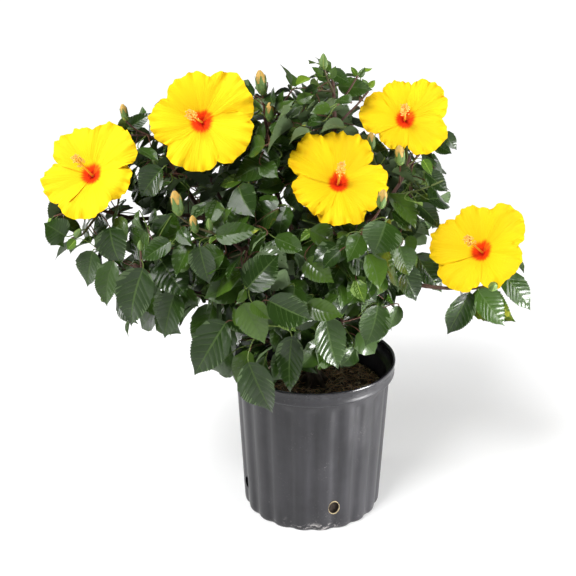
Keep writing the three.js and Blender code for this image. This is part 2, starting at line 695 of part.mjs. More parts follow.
function potSolid() {
  const shares = [0.2, 0.8, 1]; // two corners of a panel and the middle of the groove after it
  const ring = (z, r, depth) => Array.from({ length: pot.flutes * 3 }, (_, i) => {
    const turn = rad(pot.fluteTurn + (360 / pot.flutes) * (Math.floor(i / 3) + shares[i % 3]));
    const radius = r - (i % 3 === 2 ? depth : 0);
    return v(radius * Math.sin(turn), -radius * Math.cos(turn), z);
  });
  const band = pot.height - pot.rimBand;
  let solid = skin([
    [v(0, 0, 0)],
    ring(0, pot.baseRadius - 2.5, 2),
    ring(3.5, bodyRadius(3.5), pot.fluteDepth),
    ring(band - 16, bodyRadius(band - 16), pot.fluteDepth),
    ring(band - 5, bodyRadius(band - 5), 0),
    ring(band + 1, pot.rimRadius - 2, 0),
    ring(pot.height - 2, pot.rimRadius, 0),
    ring(pot.height, pot.rimRadius - 1.6, 0),
    ring(pot.height - 1, pot.rimRadius - pot.wall - 1.6, 0),
    ring(band - 1, innerRadius(band), 0),
    ring(pot.wall, innerRadius(pot.wall), 0),
    [v(0, 0, pot.wall)],
  ]);
  const bore = (turn, from, to) => {
    const bar = new THREE.CylinderGeometry(pot.holeRadius, pot.holeRadius, to - from, 12);
    bar.translate(0, -(from + to) / 2, 0); // the bar lies towards -Y, its axis on Y
    bar.rotateZ(rad(turn));
    bar.translate(0, 0, pot.holeHeight);
    return solidOf(bar);
  };
  const face = bodyRadius(pot.holeHeight) - pot.fluteDepth;
  for (let k = 0; k < pot.holes; k++) {
    solid = solid.subtract(bore(pot.holeTurn + (360 / pot.holes) * k, face - 15, face + 12));
  }
  return solid;
}

function soilSolid() {
  const draw = stream(7);
  const sides = 28;
  const ring = (z, r, rough) => Array.from({ length: sides }, (_, k) => {
    const turn = (2 * Math.PI * k) / sides;
    return v(r * Math.sin(turn), -r * Math.cos(turn), z + rough * (draw() - 0.5));
  });
  const floor = pot.wall + gap, edge = soilTop - 6;
  const fit = (z) => innerRadius(z) - gap - 0.6; // clear of the flats of the pot's many-sided wall
  return skin([
    [v(0, 0, floor)],
    ring(floor, fit(floor), 0),
    ring(edge, fit(edge), 3),
    ring(soilTop - 2, 92, 4),
    ring(soilTop - 1, 58, 3),
    ring(soilTop - gap, soilPad, 0),
    [v(0, 0, soilTop - gap)],
  ]);
}

// Assembly.
const group = new THREE.Group();
group.name = "hibiscus_shrub";
function put(name, solid, colour, roughness) {
  const material = new THREE.MeshStandardMaterial({ color: colour, roughness, metalness: 0 });
  material.name = name + "_finish";
  const mesh = new THREE.Mesh(geometryOf(solid), material);
  mesh.name = name;
  group.add(mesh);
}

// The one piece of a cut limb that reaches its tip.
const largest = (solid) => solid.decompose().reduce((a, b) => (a.volume() > b.volume() ? a : b));

// A limb made thicker and longer by the clear distance, to cut what springs from it.
function grown(path, sides) {
  const [foot, next] = path.points;
  const below = moved(foot, [next.clone().sub(foot).normalize(), -gap]);
  return tube([below, ...path.points], [path.radii[0], ...path.radii].map((r) => r + gap), sides);
}

const trunkSides = 9, boughSides = 6, stemSides = 4, twigSides = 3;

put("pot", potSolid(), 0x2c2d30, 0.45);
put("soil", soilSolid(), 0x3d2b1e, 0.95);
put("trunk", tube(limbs.trunk.points, limbs.trunk.radii, trunkSides), 0x75604a, 0.85);
for (const m of masses) {
  if (m.at === 1) continue;
  const parent = grown(limbs[m.from], m.from === "trunk" ? trunkSides : boughSides);
  const bough = tube(limbs[m.name].points, limbs[m.name].radii, boughSides).subtract(parent);
  put("bough_" + m.name, largest(bough), 0x6a4a34, 0.8);
}
for (const m of masses) {
  const { twigs, leaves } = growMass(m, m.leaves);
  const pieces = [tube(stems[m.name].points, stems[m.name].radii, stemSides)];
  for (const twig of twigs) {
    const [end, before] = [twig.points.at(-1), twig.points.at(-2)];
    pieces.push(tube(twig.points, twig.radii, twigSides));
    if (twig.bud > 0) pieces.push(budSolid(end, end.clone().sub(before).normalize(), twig.bud));
  }
  pieces.push(...leaves.map(leafSolid));
  put("leaves_" + m.name, joined(pieces), m.centre[2] > 540 ? 0x44722a : 0x335a24, 0.5);
}
for (const b of blooms) {
  put(b.name, largest(bloomSolid(b).subtract(grown(stems[b.on], stemSides))), 0xf5cf17, 0.6);
}

export default group;
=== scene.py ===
# Hibiscus shrub in its nursery pot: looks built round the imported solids.
# Growth is worked out in millimetres, as in the part's source, and meshes are written in metres.
import math
import bpy
import numpy as np
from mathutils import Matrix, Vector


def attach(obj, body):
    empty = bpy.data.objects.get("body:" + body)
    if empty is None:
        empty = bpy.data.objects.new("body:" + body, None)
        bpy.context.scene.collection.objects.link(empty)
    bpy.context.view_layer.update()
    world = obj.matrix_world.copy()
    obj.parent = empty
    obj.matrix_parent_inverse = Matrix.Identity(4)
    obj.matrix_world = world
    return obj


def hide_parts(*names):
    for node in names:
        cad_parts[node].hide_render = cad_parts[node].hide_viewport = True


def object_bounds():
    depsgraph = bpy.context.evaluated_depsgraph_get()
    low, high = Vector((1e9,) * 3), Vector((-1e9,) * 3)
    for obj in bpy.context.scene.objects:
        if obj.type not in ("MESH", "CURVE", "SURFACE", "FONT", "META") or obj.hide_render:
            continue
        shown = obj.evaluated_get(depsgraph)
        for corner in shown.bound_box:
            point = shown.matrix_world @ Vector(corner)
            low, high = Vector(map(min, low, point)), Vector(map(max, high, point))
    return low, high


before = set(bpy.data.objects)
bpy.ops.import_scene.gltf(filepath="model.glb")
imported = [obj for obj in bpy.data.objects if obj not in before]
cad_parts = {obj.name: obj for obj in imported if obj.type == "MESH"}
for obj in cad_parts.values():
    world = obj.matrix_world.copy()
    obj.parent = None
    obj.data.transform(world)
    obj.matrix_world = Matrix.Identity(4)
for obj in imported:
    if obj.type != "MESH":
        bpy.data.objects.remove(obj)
cadBox = [[float(c) for c in corner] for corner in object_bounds()]
print("solids loaded:", len(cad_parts))

scene = bpy.context.scene


# Shaders.
class Socket:  # one output of a node, which can stand in a sum
    def __init__(self, finish, link):
        self.finish = finish
        self.link = link

    def math(self, operation, first, second):
        return self.finish.node("ShaderNodeMath", {"operation": operation}, {0: first, 1: second})

    def __add__(self, other):
        return self.math("ADD", self, other)

    def __sub__(self, other):
        return self.math("SUBTRACT", self, other)

    def __rsub__(self, other):
        return self.math("SUBTRACT", other, self)

    def __mul__(self, other):
        return self.math("MULTIPLY", self, other)

    __radd__ = __add__
    __rmul__ = __mul__


class Finish:  # a material made of one shader and the nodes that feed it
    def __init__(self, name, **values):
        self.material = bpy.data.materials.new(name)
        self.material.use_nodes = True
        self.tree = self.material.node_tree
        self.shader = self.tree.nodes["Principled BSDF"]
        for socket, value in values.items():
            self.shader.inputs[socket.replace("_", " ")].default_value = value

    def node(self, kind, settings=None, inputs=None, output=0):
        made = self.tree.nodes.new(kind)
        for key, value in (settings or {}).items():
            if key == "stops":
                ramp = made.color_ramp.elements
                while len(ramp) < len(value):
                    ramp.new(1.0)
                for stop, (place, colour) in zip(ramp, value):
                    stop.position = place
                    stop.color = (*colour, 1.0)
            else:
                setattr(made, key, value)
        for key, value in (inputs or {}).items():
            self.feed(made.inputs[key], value)
        return Socket(self, made.outputs[output])

    def feed(self, socket, value):
        if isinstance(value, Socket):
            self.tree.links.new(value.link, socket)
        elif socket.type == "RGBA" and len(value) == 3:
            socket.default_value = (*value, 1.0)
        else:
            socket.default_value = value

    def set(self, name, value):
        self.feed(self.shader.inputs[name], value)

    def places(self, kind="Object"):
        return self.node("ShaderNodeTexCoord", output=kind)

    def part(self, vector, axis):
        return self.node("ShaderNodeSeparateXYZ", {}, {"Vector": vector}, output=axis)

    def stretched(self, vector, scale):
        return self.node("ShaderNodeVectorMath", {"operation": "MULTIPLY"}, {0: vector, 1: scale})

    def noise(self, vector, scale, detail=2.0, roughness=0.5, distortion=0.0):
        inputs = {
            "Vector": vector, "Scale": scale, "Detail": detail, "Roughness": roughness,
            "Distortion": distortion,
        }
        return self.node("ShaderNodeTexNoise", {}, inputs)

    def ramp(self, value, *stops):
        return self.node("ShaderNodeValToRGB", {"stops": stops}, {"Fac": value})

    def span(self, value, low, high, to=(0.0, 1.0)):
        inputs = {"Value": value, "From Min": low, "From Max": high, "To Min": to[0], "To Max": to[1]}
        return self.node("ShaderNodeMapRange", {}, inputs)

    def blend(self, share, one, two):
        return self.node("ShaderNodeMix", {"data_type": "RGBA"}, {0: share, 6: one, 7: two}, output=2)

    def bump(self, height, strength, distance):
        inputs = {"Height": height, "Strength": strength, "Distance": distance}
        self.set("Normal", self.node("ShaderNodeBump", {}, inputs))
        return self.material


# Meshes.
millimetre = 0.001  # in metres
boxMargin = 0.0002  # how far every mesh stays inside the solids' box


class Batch:  # points in millimetres, faces of three or four corners, a finish number for each face
    def __init__(self):
        self.points = []
        self.faces = []
        self.maps = []
        self.start = 0
        self.count = 0

    def add(self, points, faces, tints=0, places=None):
        points = np.asarray(points, float).reshape(-1, 3)
        if places is None:
            places = np.zeros((len(points), 2))
        self.points.append(points)
        self.maps.append(np.asarray(places, float).reshape(-1, 2))
        self.start = self.count
        self.count += len(points)
        self.addFaces(faces, tints)

    def addFaces(self, faces, tints=0):
        # more faces over the points that came last
        faces = np.asarray(faces, int)
        self.faces.append((faces + self.start, np.broadcast_to(tints, len(faces))))

    def piece(self, name, finishes, nodes=(), crease=40):
        own = np.concatenate(self.points)
        low, high = np.array(cadBox)
        points = np.clip(own * millimetre, low + boxMargin, high - boxMargin)
        resting = own[:, 2] <= 0.2  # what stands on the floor stays on it
        points[resting, 2] = own[resting, 2] * millimetre
        maps = np.concatenate(self.maps)
        corners = np.concatenate([f.ravel() for f, _ in self.faces])
        sizes = np.concatenate([np.full(len(f), f.shape[1]) for f, _ in self.faces])
        tints = np.concatenate([t for _, t in self.faces])
        mesh = bpy.data.meshes.new(name)
        mesh.vertices.add(len(points))
        mesh.vertices.foreach_set("co", points.ravel())
        mesh.loops.add(len(corners))
        mesh.loops.foreach_set("vertex_index", corners.astype(np.int32))
        mesh.polygons.add(len(sizes))
        mesh.polygons.foreach_set("loop_start", (np.cumsum(sizes) - sizes).astype(np.int32))
        for finish in finishes:
            mesh.materials.append(finish)
        mesh.polygons.foreach_set("material_index", tints.astype(np.int32))
        mesh.polygons.foreach_set("use_smooth", np.ones(len(sizes), bool))
        mesh.update(calc_edges=True)
        layer = mesh.uv_layers.new(name="Own")
        layer.data.foreach_set("uv", maps[corners].ravel())
        mesh.validate()
        if crease:
            mesh.set_sharp_from_angle(angle=math.radians(crease))
        made = bpy.data.objects.new(name, mesh)
        scene.collection.objects.link(made)
        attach(made, "root")
        if nodes:
            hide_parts(*nodes)
        return made


def gridFaces(rows, columns, closed=False):
    # quads over a grid of points that is stored row by row
    i, j = np.meshgrid(np.arange(rows - 1), np.arange(columns if closed else columns - 1), indexing="ij")
    low, high = i * columns, (i + 1) * columns
    after = (j + 1) % columns
    return np.stack([low + j, low + after, high + after, high + j], -1).reshape(-1, 4)


def sheetFaces(rows, columns):
    # both sides of a thin sheet: a grid of points on top, and its inner points once more for the underside
    top = gridFaces(rows, columns)
    under = np.arange(rows * columns).reshape(rows, columns)
    under[1:-1, 1:-1] = rows * columns + np.arange((rows - 2) * (columns - 2)).reshape(rows - 2, columns - 2)
    return top, under.ravel()[top[:, [0, 3, 2, 1]]]


def endFans(rings, sides):
    # triangles that close both ends of a run of rings, from the two points that follow the rings
    k = np.arange(sides)
    after = (k + 1) % sides
    count, last = rings * sides, (rings - 1) * sides
    low = np.stack([np.full(sides, count), after, k], -1)
    high = np.stack([np.full(sides, count + 1), last + k, last + after], -1)
    return np.concatenate([low, high])


def turnsOf(sides):
    # the angles of the points of a ring
    return np.arange(sides) * 2 * math.pi / sides


anyTurn = (0, 6.283)  # the reach of a drawn angle


def unit(a):
    return a / math.sqrt(float(a @ a))


def mixed(a, b, t):
    return a + (b - a) * t


def smoothPath(points, radii, steps):
    # a rounder run through the same points
    points = np.asarray(points, float)
    radii = np.asarray(radii, float)
    last = len(points) - 1
    t = np.linspace(0, last, steps + 1)
    i = np.minimum(t.astype(int), last - 1)
    f = (t - i)[:, None]
    before = points[np.maximum(i - 1, 0)]
    a, b = points[i], points[i + 1]
    after = points[np.minimum(i + 2, last)]
    run = 0.5 * (
        2 * a + (b - before) * f + (2 * before - 5 * a + 4 * b - after) * f ** 2
        + (3 * a - before - 3 * b + after) * f ** 3
    )
    return run, np.interp(t, np.arange(last + 1), radii)


def frames(points):
    # a side and an upper direction at each point, turned as little as can be from one to the next
    ways = np.gradient(points, axis=0)
    ways /= np.linalg.norm(ways, axis=1)[:, None]
    start = np.array([0, 0, 1.0]) if abs(ways[0][2]) < 0.9 else np.array([1.0, 0, 0])
    side = unit(np.cross(start, ways[0]))
    sides = []
    for way in ways:
        side = unit(side - way * (side @ way))
        sides.append(side)
    sides = np.array(sides)
    return ways, sides, np.cross(ways, sides)


def addTube(batch, points, radii, sides, tint=0, rough=None):
    points = np.asarray(points, float)
    _, one, two = frames(points)
    turns = turnsOf(sides)
    radii = np.asarray(radii, float)[:, None]
    if rough is not None:
        radii = radii * rough(len(points), sides)
    ring = (
        points[:, None] + one[:, None] * (radii * np.cos(turns))[:, :, None]
        + two[:, None] * (radii * np.sin(turns))[:, :, None]
    )
    steps = np.r_[0, np.cumsum(np.linalg.norm(np.diff(points, axis=0), axis=1))]
    places = np.stack(np.broadcast_arrays((np.arange(sides) / sides)[None], steps[:, None] / 100), -1)
    ends = np.array([points[0], points[-1]])
    allPoints = np.concatenate([ring.reshape(-1, 3), ends])
    allPlaces = np.concatenate([places.reshape(-1, 2), [[0, 0], [0, steps[-1] / 100]]])
    batch.add(allPoints, gridFaces(len(points), sides, closed=True), tint, allPlaces)
    batch.addFaces(endFans(len(points), sides), tint)


# The view: camera, floor and light.
view = dict(
    place=(0, -1.736, 1.103), down=0.396, turn=0.023, lens=75, sensor=36,
    floorColour=(0.72, 0.72, 0.72), floorGlow=0.66, skyColour=(0.97, 0.985, 1), skyStrength=0.12,
    floorSides=64, glowFrom=0.9, glowTo=3.6, floorRings=(  # radius and height of each ring
        (0.4, 0), (1.2, 0), (3.6, 0), (7, 0), (8.2, 0.05), (9.5, 0.22), (11, 0.6), (13, 1.4), (14, 1.9),
    ),
)
lamps = [  # kind, place, where it aims, size (degrees for a sun), strength
    dict(name="key", kind="SUN", place=(-1.2, -2.0, 3.4), aim=(0, 0, 0.45), size=17, power=1.7),
    dict(name="side", kind="AREA", place=(1.9, -0.35, 0.55), aim=(0, 0, 0.2), size=0.8, power=18),
    dict(name="low", kind="AREA", place=(0.85, -0.42, 0.1), aim=(0, 0, 0.13), size=0.34, power=14),
    dict(name="left", kind="AREA", place=(-2.1, -0.1, 0.6), aim=(0, 0, 0.3), size=0.6, power=13),
    dict(name="top", kind="AREA", place=(-1.0, -0.4, 2.2), aim=(0, 0, 0.5), size=1.6, power=44),
]

lens = bpy.data.cameras.new("camera")
lens.lens = view["lens"]
lens.sensor_width = view["sensor"]
camera = bpy.data.objects.new("camera", lens)
camera.location = view["place"]
camera.rotation_euler = (math.pi / 2 - view["down"], 0, view["turn"])
scene.collection.objects.link(camera)
scene.camera = camera

sky = bpy.data.worlds.new("sky")
sky.use_nodes = True
sky.node_tree.nodes["Background"].inputs["Color"].default_value = (*view["skyColour"], 1)
sky.node_tree.nodes["Background"].inputs["Strength"].default_value = view["skyStrength"]
scene.world = sky
scene.view_settings.view_transform = "Standard"

for row in lamps:
    light = bpy.data.lights.new(row["name"], row["kind"])
    light.energy = row["power"]
    if row["kind"] == "SUN":
        light.angle = math.radians(row["size"])
    else:
        light.shape = "DISK"
        light.size = row["size"]
    lamp = bpy.data.objects.new(row["name"], light)
    lamp.location = row["place"]
    aim = np.array(row["aim"]) - np.array(row["place"])
    lamp.rotation_euler = (math.acos(-aim[2] / np.linalg.norm(aim)), 0, math.atan2(-aim[0], aim[1]))
    scene.collection.objects.link(lamp)


def makeFloor():
    finish = Finish("pale floor", Roughness=0.9, Specular_IOR_Level=0.1, Emission_Strength=view["floorGlow"])
    place = finish.places()
    soft = finish.noise(place, 3.0, 3)
    away = finish.node("ShaderNodeVectorMath", {"operation": "LENGTH"}, {0: place}, output=1)
    glow = finish.span(away, view["glowFrom"], view["glowTo"])
    finish.set("Emission Color", finish.blend(glow, (0.5, 0.5, 0.5), (1, 1, 1)))
    colour = view["floorColour"]
    finish.set("Base Color", finish.blend(soft, colour, [c * 0.985 for c in colour]))
    sides = view["floorSides"]
    turns = np.linspace(0, 2 * math.pi, sides + 1)[:-1]
    rings = view["floorRings"]  # radius and height: the floor rises into a pale wall all round
    points = [(0, 0, 0)] + [(r * math.sin(a), r * math.cos(a), z) for r, z in rings for a in turns]
    faces = [(0, 1 + (k + 1) % sides, 1 + k) for k in range(sides)]
    for i in range(len(rings) - 1):
        a = 1 + sides * i
        b = a + sides
        faces += [(a + k, a + (k + 1) % sides, b + (k + 1) % sides, b + k) for k in range(sides)]
    mesh = bpy.data.meshes.new("floor")
    mesh.from_pydata(points, [], faces)
    mesh.materials.append(finish.material)
    mesh.polygons.foreach_set("use_smooth", np.ones(len(faces), bool))
    floor = bpy.data.objects.new("floor", mesh)
    scene.collection.objects.link(floor)


makeFloor()
print("view and light set")


# The limbs, masses and blooms, with the same numbers as the solids.
gap = 0.3  # between a bough and the stem of its mass
twigRadius = 1.8
petioleRadius = 0.8
spaceMargin = 0.7  # between two masses
bloomCup = 30  # how far the cup goes back from the middle of a bloom
bloomFoot = 42  # and where its stalk starts
stalkRadius = 1.7
heart = np.array([0, 0, 400.0])  # leaves turn away from here
upward = np.array([0, 0, 1.0])

pot = dict(
    height=260, rimRadius=133, rimBand=24, neckRadius=124, baseRadius=112, wall=2.4, flutes=20,
    fluteDepth=2.8, fluteTurn=18.5, holes=4, holeTurn=18.5, holeHeight=43, soilTop=212,
)

trunk = dict(
    path=[
        [3, 0, 212], [3, 0, 219], [1, -1, 240], [-4, -3, 300], [6, 8, 400], [20, 26, 500], [27, 34, 575],
    ],
    radii=[17, 12.5, 11, 9.6, 7.6, 5.6, 4.2],
)

# Shoots are x, y, z and the length of a bud. Leads are large front leaves: base, tip and breadth.
masses = [
    dict(
        name="top", centre=(32, 40, 655), half=(78, 80, 92), crest=(-6, 2, 48), source="trunk", at=1,
        foot=4.2, tip=4.2, leaves=18, leaf=(42, 68), droop=0.35, seed=11,
        shoots=[(11, 20, 728, 18), (64, 40, 706, 0), (80, 44, 680, 0)],
        leads=[
            ((34, 50, 687), (89, 50, 682), 27), ((4, 30, 688), (-18, 30, 680), 15),
            ((22, 30, 712), (52, 30, 697), 21),
        ],
    ),
    dict(
        name="upper_centre", centre=(-80, 22, 600), half=(84, 88, 104), crest=(6, -14, 52), source="trunk",
        at=0.42, foot=6, tip=3.4, leaves=19, leaf=(48, 80), droop=0.5, seed=23,
        shoots=[(-78, 0, 695, 27), (-66, -14, 655, 22), (-34, 10, 690, 0)],
        leads=[],
    ),
    dict(
        name="upper_left", centre=(-238, 34, 578), half=(84, 96, 92), crest=(6, -12, 48), source="trunk",
        at=0.3, foot=7, tip=3.4, leaves=19, leaf=(52, 84), droop=0.6, seed=37,
        shoots=[(-286, 0, 650, 24), (-236, -38, 590, 12)],
        leads=[
            ((-222, -56, 588), (-262, -50, 540), 41), ((-282, 20, 628), (-246, 20, 653), 21),
        ],
    ),
    dict(
        name="far_left", centre=(-338, -20, 506), half=(84, 90, 70), crest=(-12, -6, 26),
        source="upper_left", at=0.72, foot=3.6, tip=2.8, leaves=16, leaf=(54, 80), droop=0.75, seed=41,
        shoots=[(-362, -60, 480, 16), (-392, -34, 505, 0)],
        leads=[
            ((-373, -50, 479), (-402, -60, 502), 42),
        ],
    ),
    dict(
        name="left_low", centre=(-250, -66, 428), half=(102, 104, 108), crest=(-16, -22, 22),
        source="trunk", at=0.17, foot=6.4, tip=3.4, leaves=23, leaf=(66, 100), droop=1.0, seed=53,
        shoots=[(-250, -122, 488, 12)],
        leads=[
            ((-204, -140, 506), (-246, -150, 480), 31), ((-247, -125, 459), (-274, -135, 364), 58),
            ((-204, -110, 415), (-226, -120, 340), 47), ((-298, -80, 452), (-315, -90, 377), 36),
            ((-332, -60, 460), (-348, -62, 398), 38), ((-302, -72, 502), (-286, -90, 444), 48),
        ],
    ),
    dict(
        name="centre", centre=(-112, -96, 484), half=(98, 92, 84), crest=(-18, -14, 24), source="trunk",
        at=0.34, foot=5.4, tip=3.4, leaves=21, leaf=(60, 94), droop=0.8, seed=67,
        shoots=[(-200, -120, 545, 28), (-174, -132, 520, 20), (-150, -134, 524, 14)],
        leads=[
            ((-94, -168, 446), (-50, -150, 494), 48), ((-162, -150, 503), (-150, -160, 446), 38),
            ((-139, -140, 515), (-74, -150, 531), 31),
        ],
    ),
    dict(
        name="low_centre", centre=(-86, -116, 354), half=(104, 102, 126), crest=(-8, -30, 14),
        source="trunk", at=0.1, foot=5.6, tip=3.2, leaves=25, leaf=(66, 100), droop=1.25, seed=71,
        shoots=[(-62, -166, 412, 18)],
        leads=[
            ((-95, -150, 321), (-60, -158, 232), 54), ((-127, -140, 381), (-182, -150, 294), 56),
            ((-31, -135, 357), (-37, -146, 262), 41), ((-64, -175, 431), (1, -180, 400), 48),
        ],
    ),
    dict(
        name="right_mid", centre=(64, -66, 470), half=(102, 92, 84), crest=(-10, -10, 26), source="trunk",
        at=0.5, foot=5, tip=3.4, leaves=21, leaf=(58, 90), droop=0.85, seed=83,
        shoots=[(99, -106, 554, 24)],
        leads=[
            ((102, -130, 534), (85, -145, 488), 55), ((128, -58, 470), (146, -66, 424), 38),
        ],
    ),
    dict(
        name="right_low", centre=(36, -66, 350), half=(88, 96, 84), crest=(10, -22, 12), source="trunk",
        at=0.22, foot=5.2, tip=3.2, leaves=21, leaf=(60, 92), droop=1.15, seed=97,
        shoots=[],
        leads=[
            ((132, -40, 366), (118, -40, 320), 23), ((18, -128, 384), (42, -140, 301), 46),
            ((96, -100, 392), (80, -112, 326), 44),
        ],
    ),
    dict(
        name="upper_right", centre=(150, 28, 546), half=(90, 96, 96), crest=(-4, 12, 36), source="trunk",
        at=0.6, foot=5, tip=3.2, leaves=20, leaf=(50, 82), droop=0.55, seed=101,
        shoots=[(84, 24, 603, 20), (127, -22, 592, 25), (192, -16, 560, 0)],
        leads=[
            ((166, 0, 568), (205, 0, 537), 27), ((184, 84, 588), (216, 80, 574), 22),
        ],
    ),
    dict(
        name="far_right", centre=(248, -66, 400), half=(104, 88, 66), crest=(18, -6, 14),
        source="right_mid", at=0.28, foot=4, tip=2.6, leaves=14, leaf=(58, 88), droop=0.85, seed=113,
        shoots=[(268, -92, 420, 14)],
        leads=[
            ((235, -70, 402), (205, -80, 331), 41), ((284, -60, 428), (337, -60, 366), 36),
            ((244, -90, 414), (291, -100, 359), 42),
        ],
    ),
    dict(
        name="back_left", centre=(-176, 168, 494), half=(122, 122, 112), crest=(-10, 20, 40),
        source="trunk", at=0.25, foot=6.6, tip=3.4, leaves=21, leaf=(60, 94), droop=0.75, seed=127,
        shoots=[], leads=[],
    ),
    dict(
        name="back_right", centre=(112, 186, 470), half=(112, 116, 116), crest=(8, 18, 40), source="trunk",
        at=0.38, foot=6.2, tip=3.4, leaves=21, leaf=(60, 94), droop=0.75, seed=131,
        shoots=[], leads=[],
    ),
    dict(
        name="back_centre", centre=(-26, 176, 572), half=(106, 100, 88), crest=(4, 10, 38), source="trunk",
        at=0.66, foot=4.6, tip=3.2, leaves=18, leaf=(54, 88), droop=0.55, seed=149,
        shoots=[], leads=[],
    ),
    dict(
        name="back_low", centre=(-34, 176, 366), half=(116, 104, 92), crest=(0, 24, 16), source="trunk",
        at=0.14, foot=5.4, tip=3.2, leaves=20, leaf=(62, 94), droop=1.15, seed=151,
        shoots=[], leads=[],
    ),
]

blooms = [
    dict(
        name="bloom_upper_left", centre=(-168, -33, 653), turn=-4, lift=19, radius=75, on="upper_centre",
        at=0.45, roll=10,
    ),
    dict(
        name="bloom_far_left", centre=(-338, -32, 577), turn=-15, lift=38, radius=72, on="far_left",
        at=0.55, roll=40,
    ),
    dict(
        name="bloom_centre", centre=(37, -41, 570), turn=6, lift=41, radius=70, on="right_mid", at=0.4,
        roll=25,
    ),
    dict(
        name="bloom_upper_right", centre=(138, 48, 641), turn=0, lift=31, radius=66, on="upper_right",
        at=0.8, roll=55,
    ),
    dict(
        name="bloom_far_right", centre=(244, -52, 466), turn=-34, lift=34, radius=71, on="far_right",
        at=0.8, roll=5,
    ),
    dict(
        name="bloom_back_left", centre=(-178, 286, 588), turn=205, lift=34, radius=66, on="back_left",
        at=0.85, roll=30,
    ),
    dict(
        name="bloom_back_right", centre=(158, 272, 576), turn=158, lift=40, radius=62, on="back_right",
        at=0.85, roll=15,
    ),
    dict(
        name="bloom_back_centre", centre=(24, 300, 488), turn=178, lift=28, radius=64, on="back_centre",
        at=0.3, roll=50,
    ),
]


def stream(seed):
    # a repeatable run of numbers from 0 to 1, the same as in the source
    state = seed

    def draw():
        nonlocal state
        state = (state * 1664525 + 1013904223) & 0xFFFFFFFF
        return state / 4294967296

    return draw


def heading(turn, lift):
    a, b = math.radians(turn), math.radians(lift)
    return np.array([math.sin(a) * math.cos(b), -math.cos(a) * math.cos(b), math.sin(b)])


def bezier(a, b, c, d, n):
    t = (np.arange(n + 1) / n)[:, None]
    s = 1 - t
    return a * s ** 3 + b * 3 * s * s * t + c * 3 * s * t * t + d * t ** 3


def along(path, t):
    points, radii = path
    steps = np.linalg.norm(np.diff(points, axis=0), axis=1)
    left = t * steps.sum()
    i = 0
    while i < len(steps) - 1 and left > steps[i]:
        left -= steps[i]
        i += 1
    share = min(left / steps[i], 1)
    way = unit(points[i + 1] - points[i])
    return mixed(points[i], points[i + 1], share), way, mixed(radii[i], radii[i + 1], share)


limbs = {"trunk": (np.array(trunk["path"], float), np.array(trunk["radii"], float))}
stems = {}
for m in masses:
    root, rootWay, _ = along(limbs[m["source"]], m["at"])
    m["centre"] = np.array(m["centre"], float)
    m["half"] = np.array(m["half"], float)
    crest = m["centre"] + m["crest"]
    size = m["half"].mean()
    if m["at"] == 1:
        entry = root
    else:
        entry = m["centre"] - unit(m["centre"] - root) * 0.5 * size
        reach = np.linalg.norm(entry - root)
        leave = unit(unit(entry - root) + upward * 0.45 + rootWay * 0.4)
        arrive = unit(crest - entry)
        points = bezier(root, root + leave * 0.35 * reach, entry - arrive * 0.3 * reach, entry, 4)
        limbs[m["name"]] = (points, mixed(m["foot"], m["tip"], np.sqrt(np.arange(5) / 4)))
    lead = along(limbs["trunk" if m["at"] == 1 else m["name"]], 1)[1]
    start = entry + lead * (gap + 0.05)
    middle = start + lead * 0.4 * np.linalg.norm(crest - start)
    stems[m["name"]] = (
        bezier(start, middle, mixed(middle, crest, 0.5), crest, 3), mixed(m["tip"], 2.1, np.arange(4) / 3),
    )

for b in blooms:
    root, rootWay, _ = along(stems[b["on"]], b["at"])
    b["centre"] = np.array(b["centre"], float)
    b["face"] = heading(b["turn"], b["lift"])
    end = b["centre"] - b["face"] * bloomFoot
    reach = np.linalg.norm(end - root)
    leave = unit(unit(end - root) + rootWay * 0.3)
    points = bezier(root, root + leave * 0.35 * reach, end - b["face"] * 0.35 * reach, end, 4)
    b["stalk"] = (points, mixed(stalkRadius + 0.4, stalkRadius, np.arange(5) / 4))

bloomCentres = np.array([b["centre"] for b in blooms])
bloomFaces = np.array([b["face"] for b in blooms])
bloomRadii = np.array([b["radius"] for b in blooms], float)
massCentres = np.array([m["centre"] for m in masses])
massWeights = np.array([m["half"].mean() ** 2 for m in masses])
budTips = np.array([s[:3] for m in masses for s in m["shoots"] if s[3] > 0], float)
budOwners = [m["name"] for m in masses for s in m["shoots"] if s[3] > 0]


# Lines of wood: starts, ends and radii.
def linesOf(path):
    points, radii = path
    return points[:-1], points[1:], np.maximum(radii[:-1], radii[1:])


def twigLines(twig):
    return linesOf((twig["points"], twig["radii"]))


def stacked(lists):
    return tuple(np.concatenate([rows[k] for rows in lists]) for k in range(3))


def apart(p, q, a, b):
    # shortest distance from the line p-q to each line a-b
    u, w, o = q - p, b - a, p - a
    uu, uw, ww = u @ u, w @ u, (w * w).sum(1)
    uo, wo = o @ u, (o * w).sum(1)
    det = uu * ww - uw * uw
    s = np.where(det > 1e-9, np.clip((uw * wo - ww * uo) / np.where(det > 1e-9, det, 1), 0, 1), 0)
    t = np.clip((uw * s + wo) / ww, 0, 1)
    s = np.clip((uw * t - uo) / uu, 0, 1)
    return np.linalg.norm(o + u * s[:, None] - w * t[:, None], axis=1)


def nearestWood(wood, p):
    # where a leaf or twig that reaches for p springs from: a little below the nearest point
    a, b, _ = wood
    line = b - a
    long = np.linalg.norm(line, axis=1)
    t = np.clip(((p - a) * line).sum(1) / long ** 2, 0, 1)
    away = np.linalg.norm(a + line * t[:, None] - p, axis=1)
    k = int(np.argmin(away))
    edge = min(3 / long[k], 0.5)
    back = min(max(t[k] - 0.4 * away[k] / long[k], edge), 1 - edge)
    root = mixed(a[k], b[k], back)
    return root, float(np.linalg.norm(root - p))


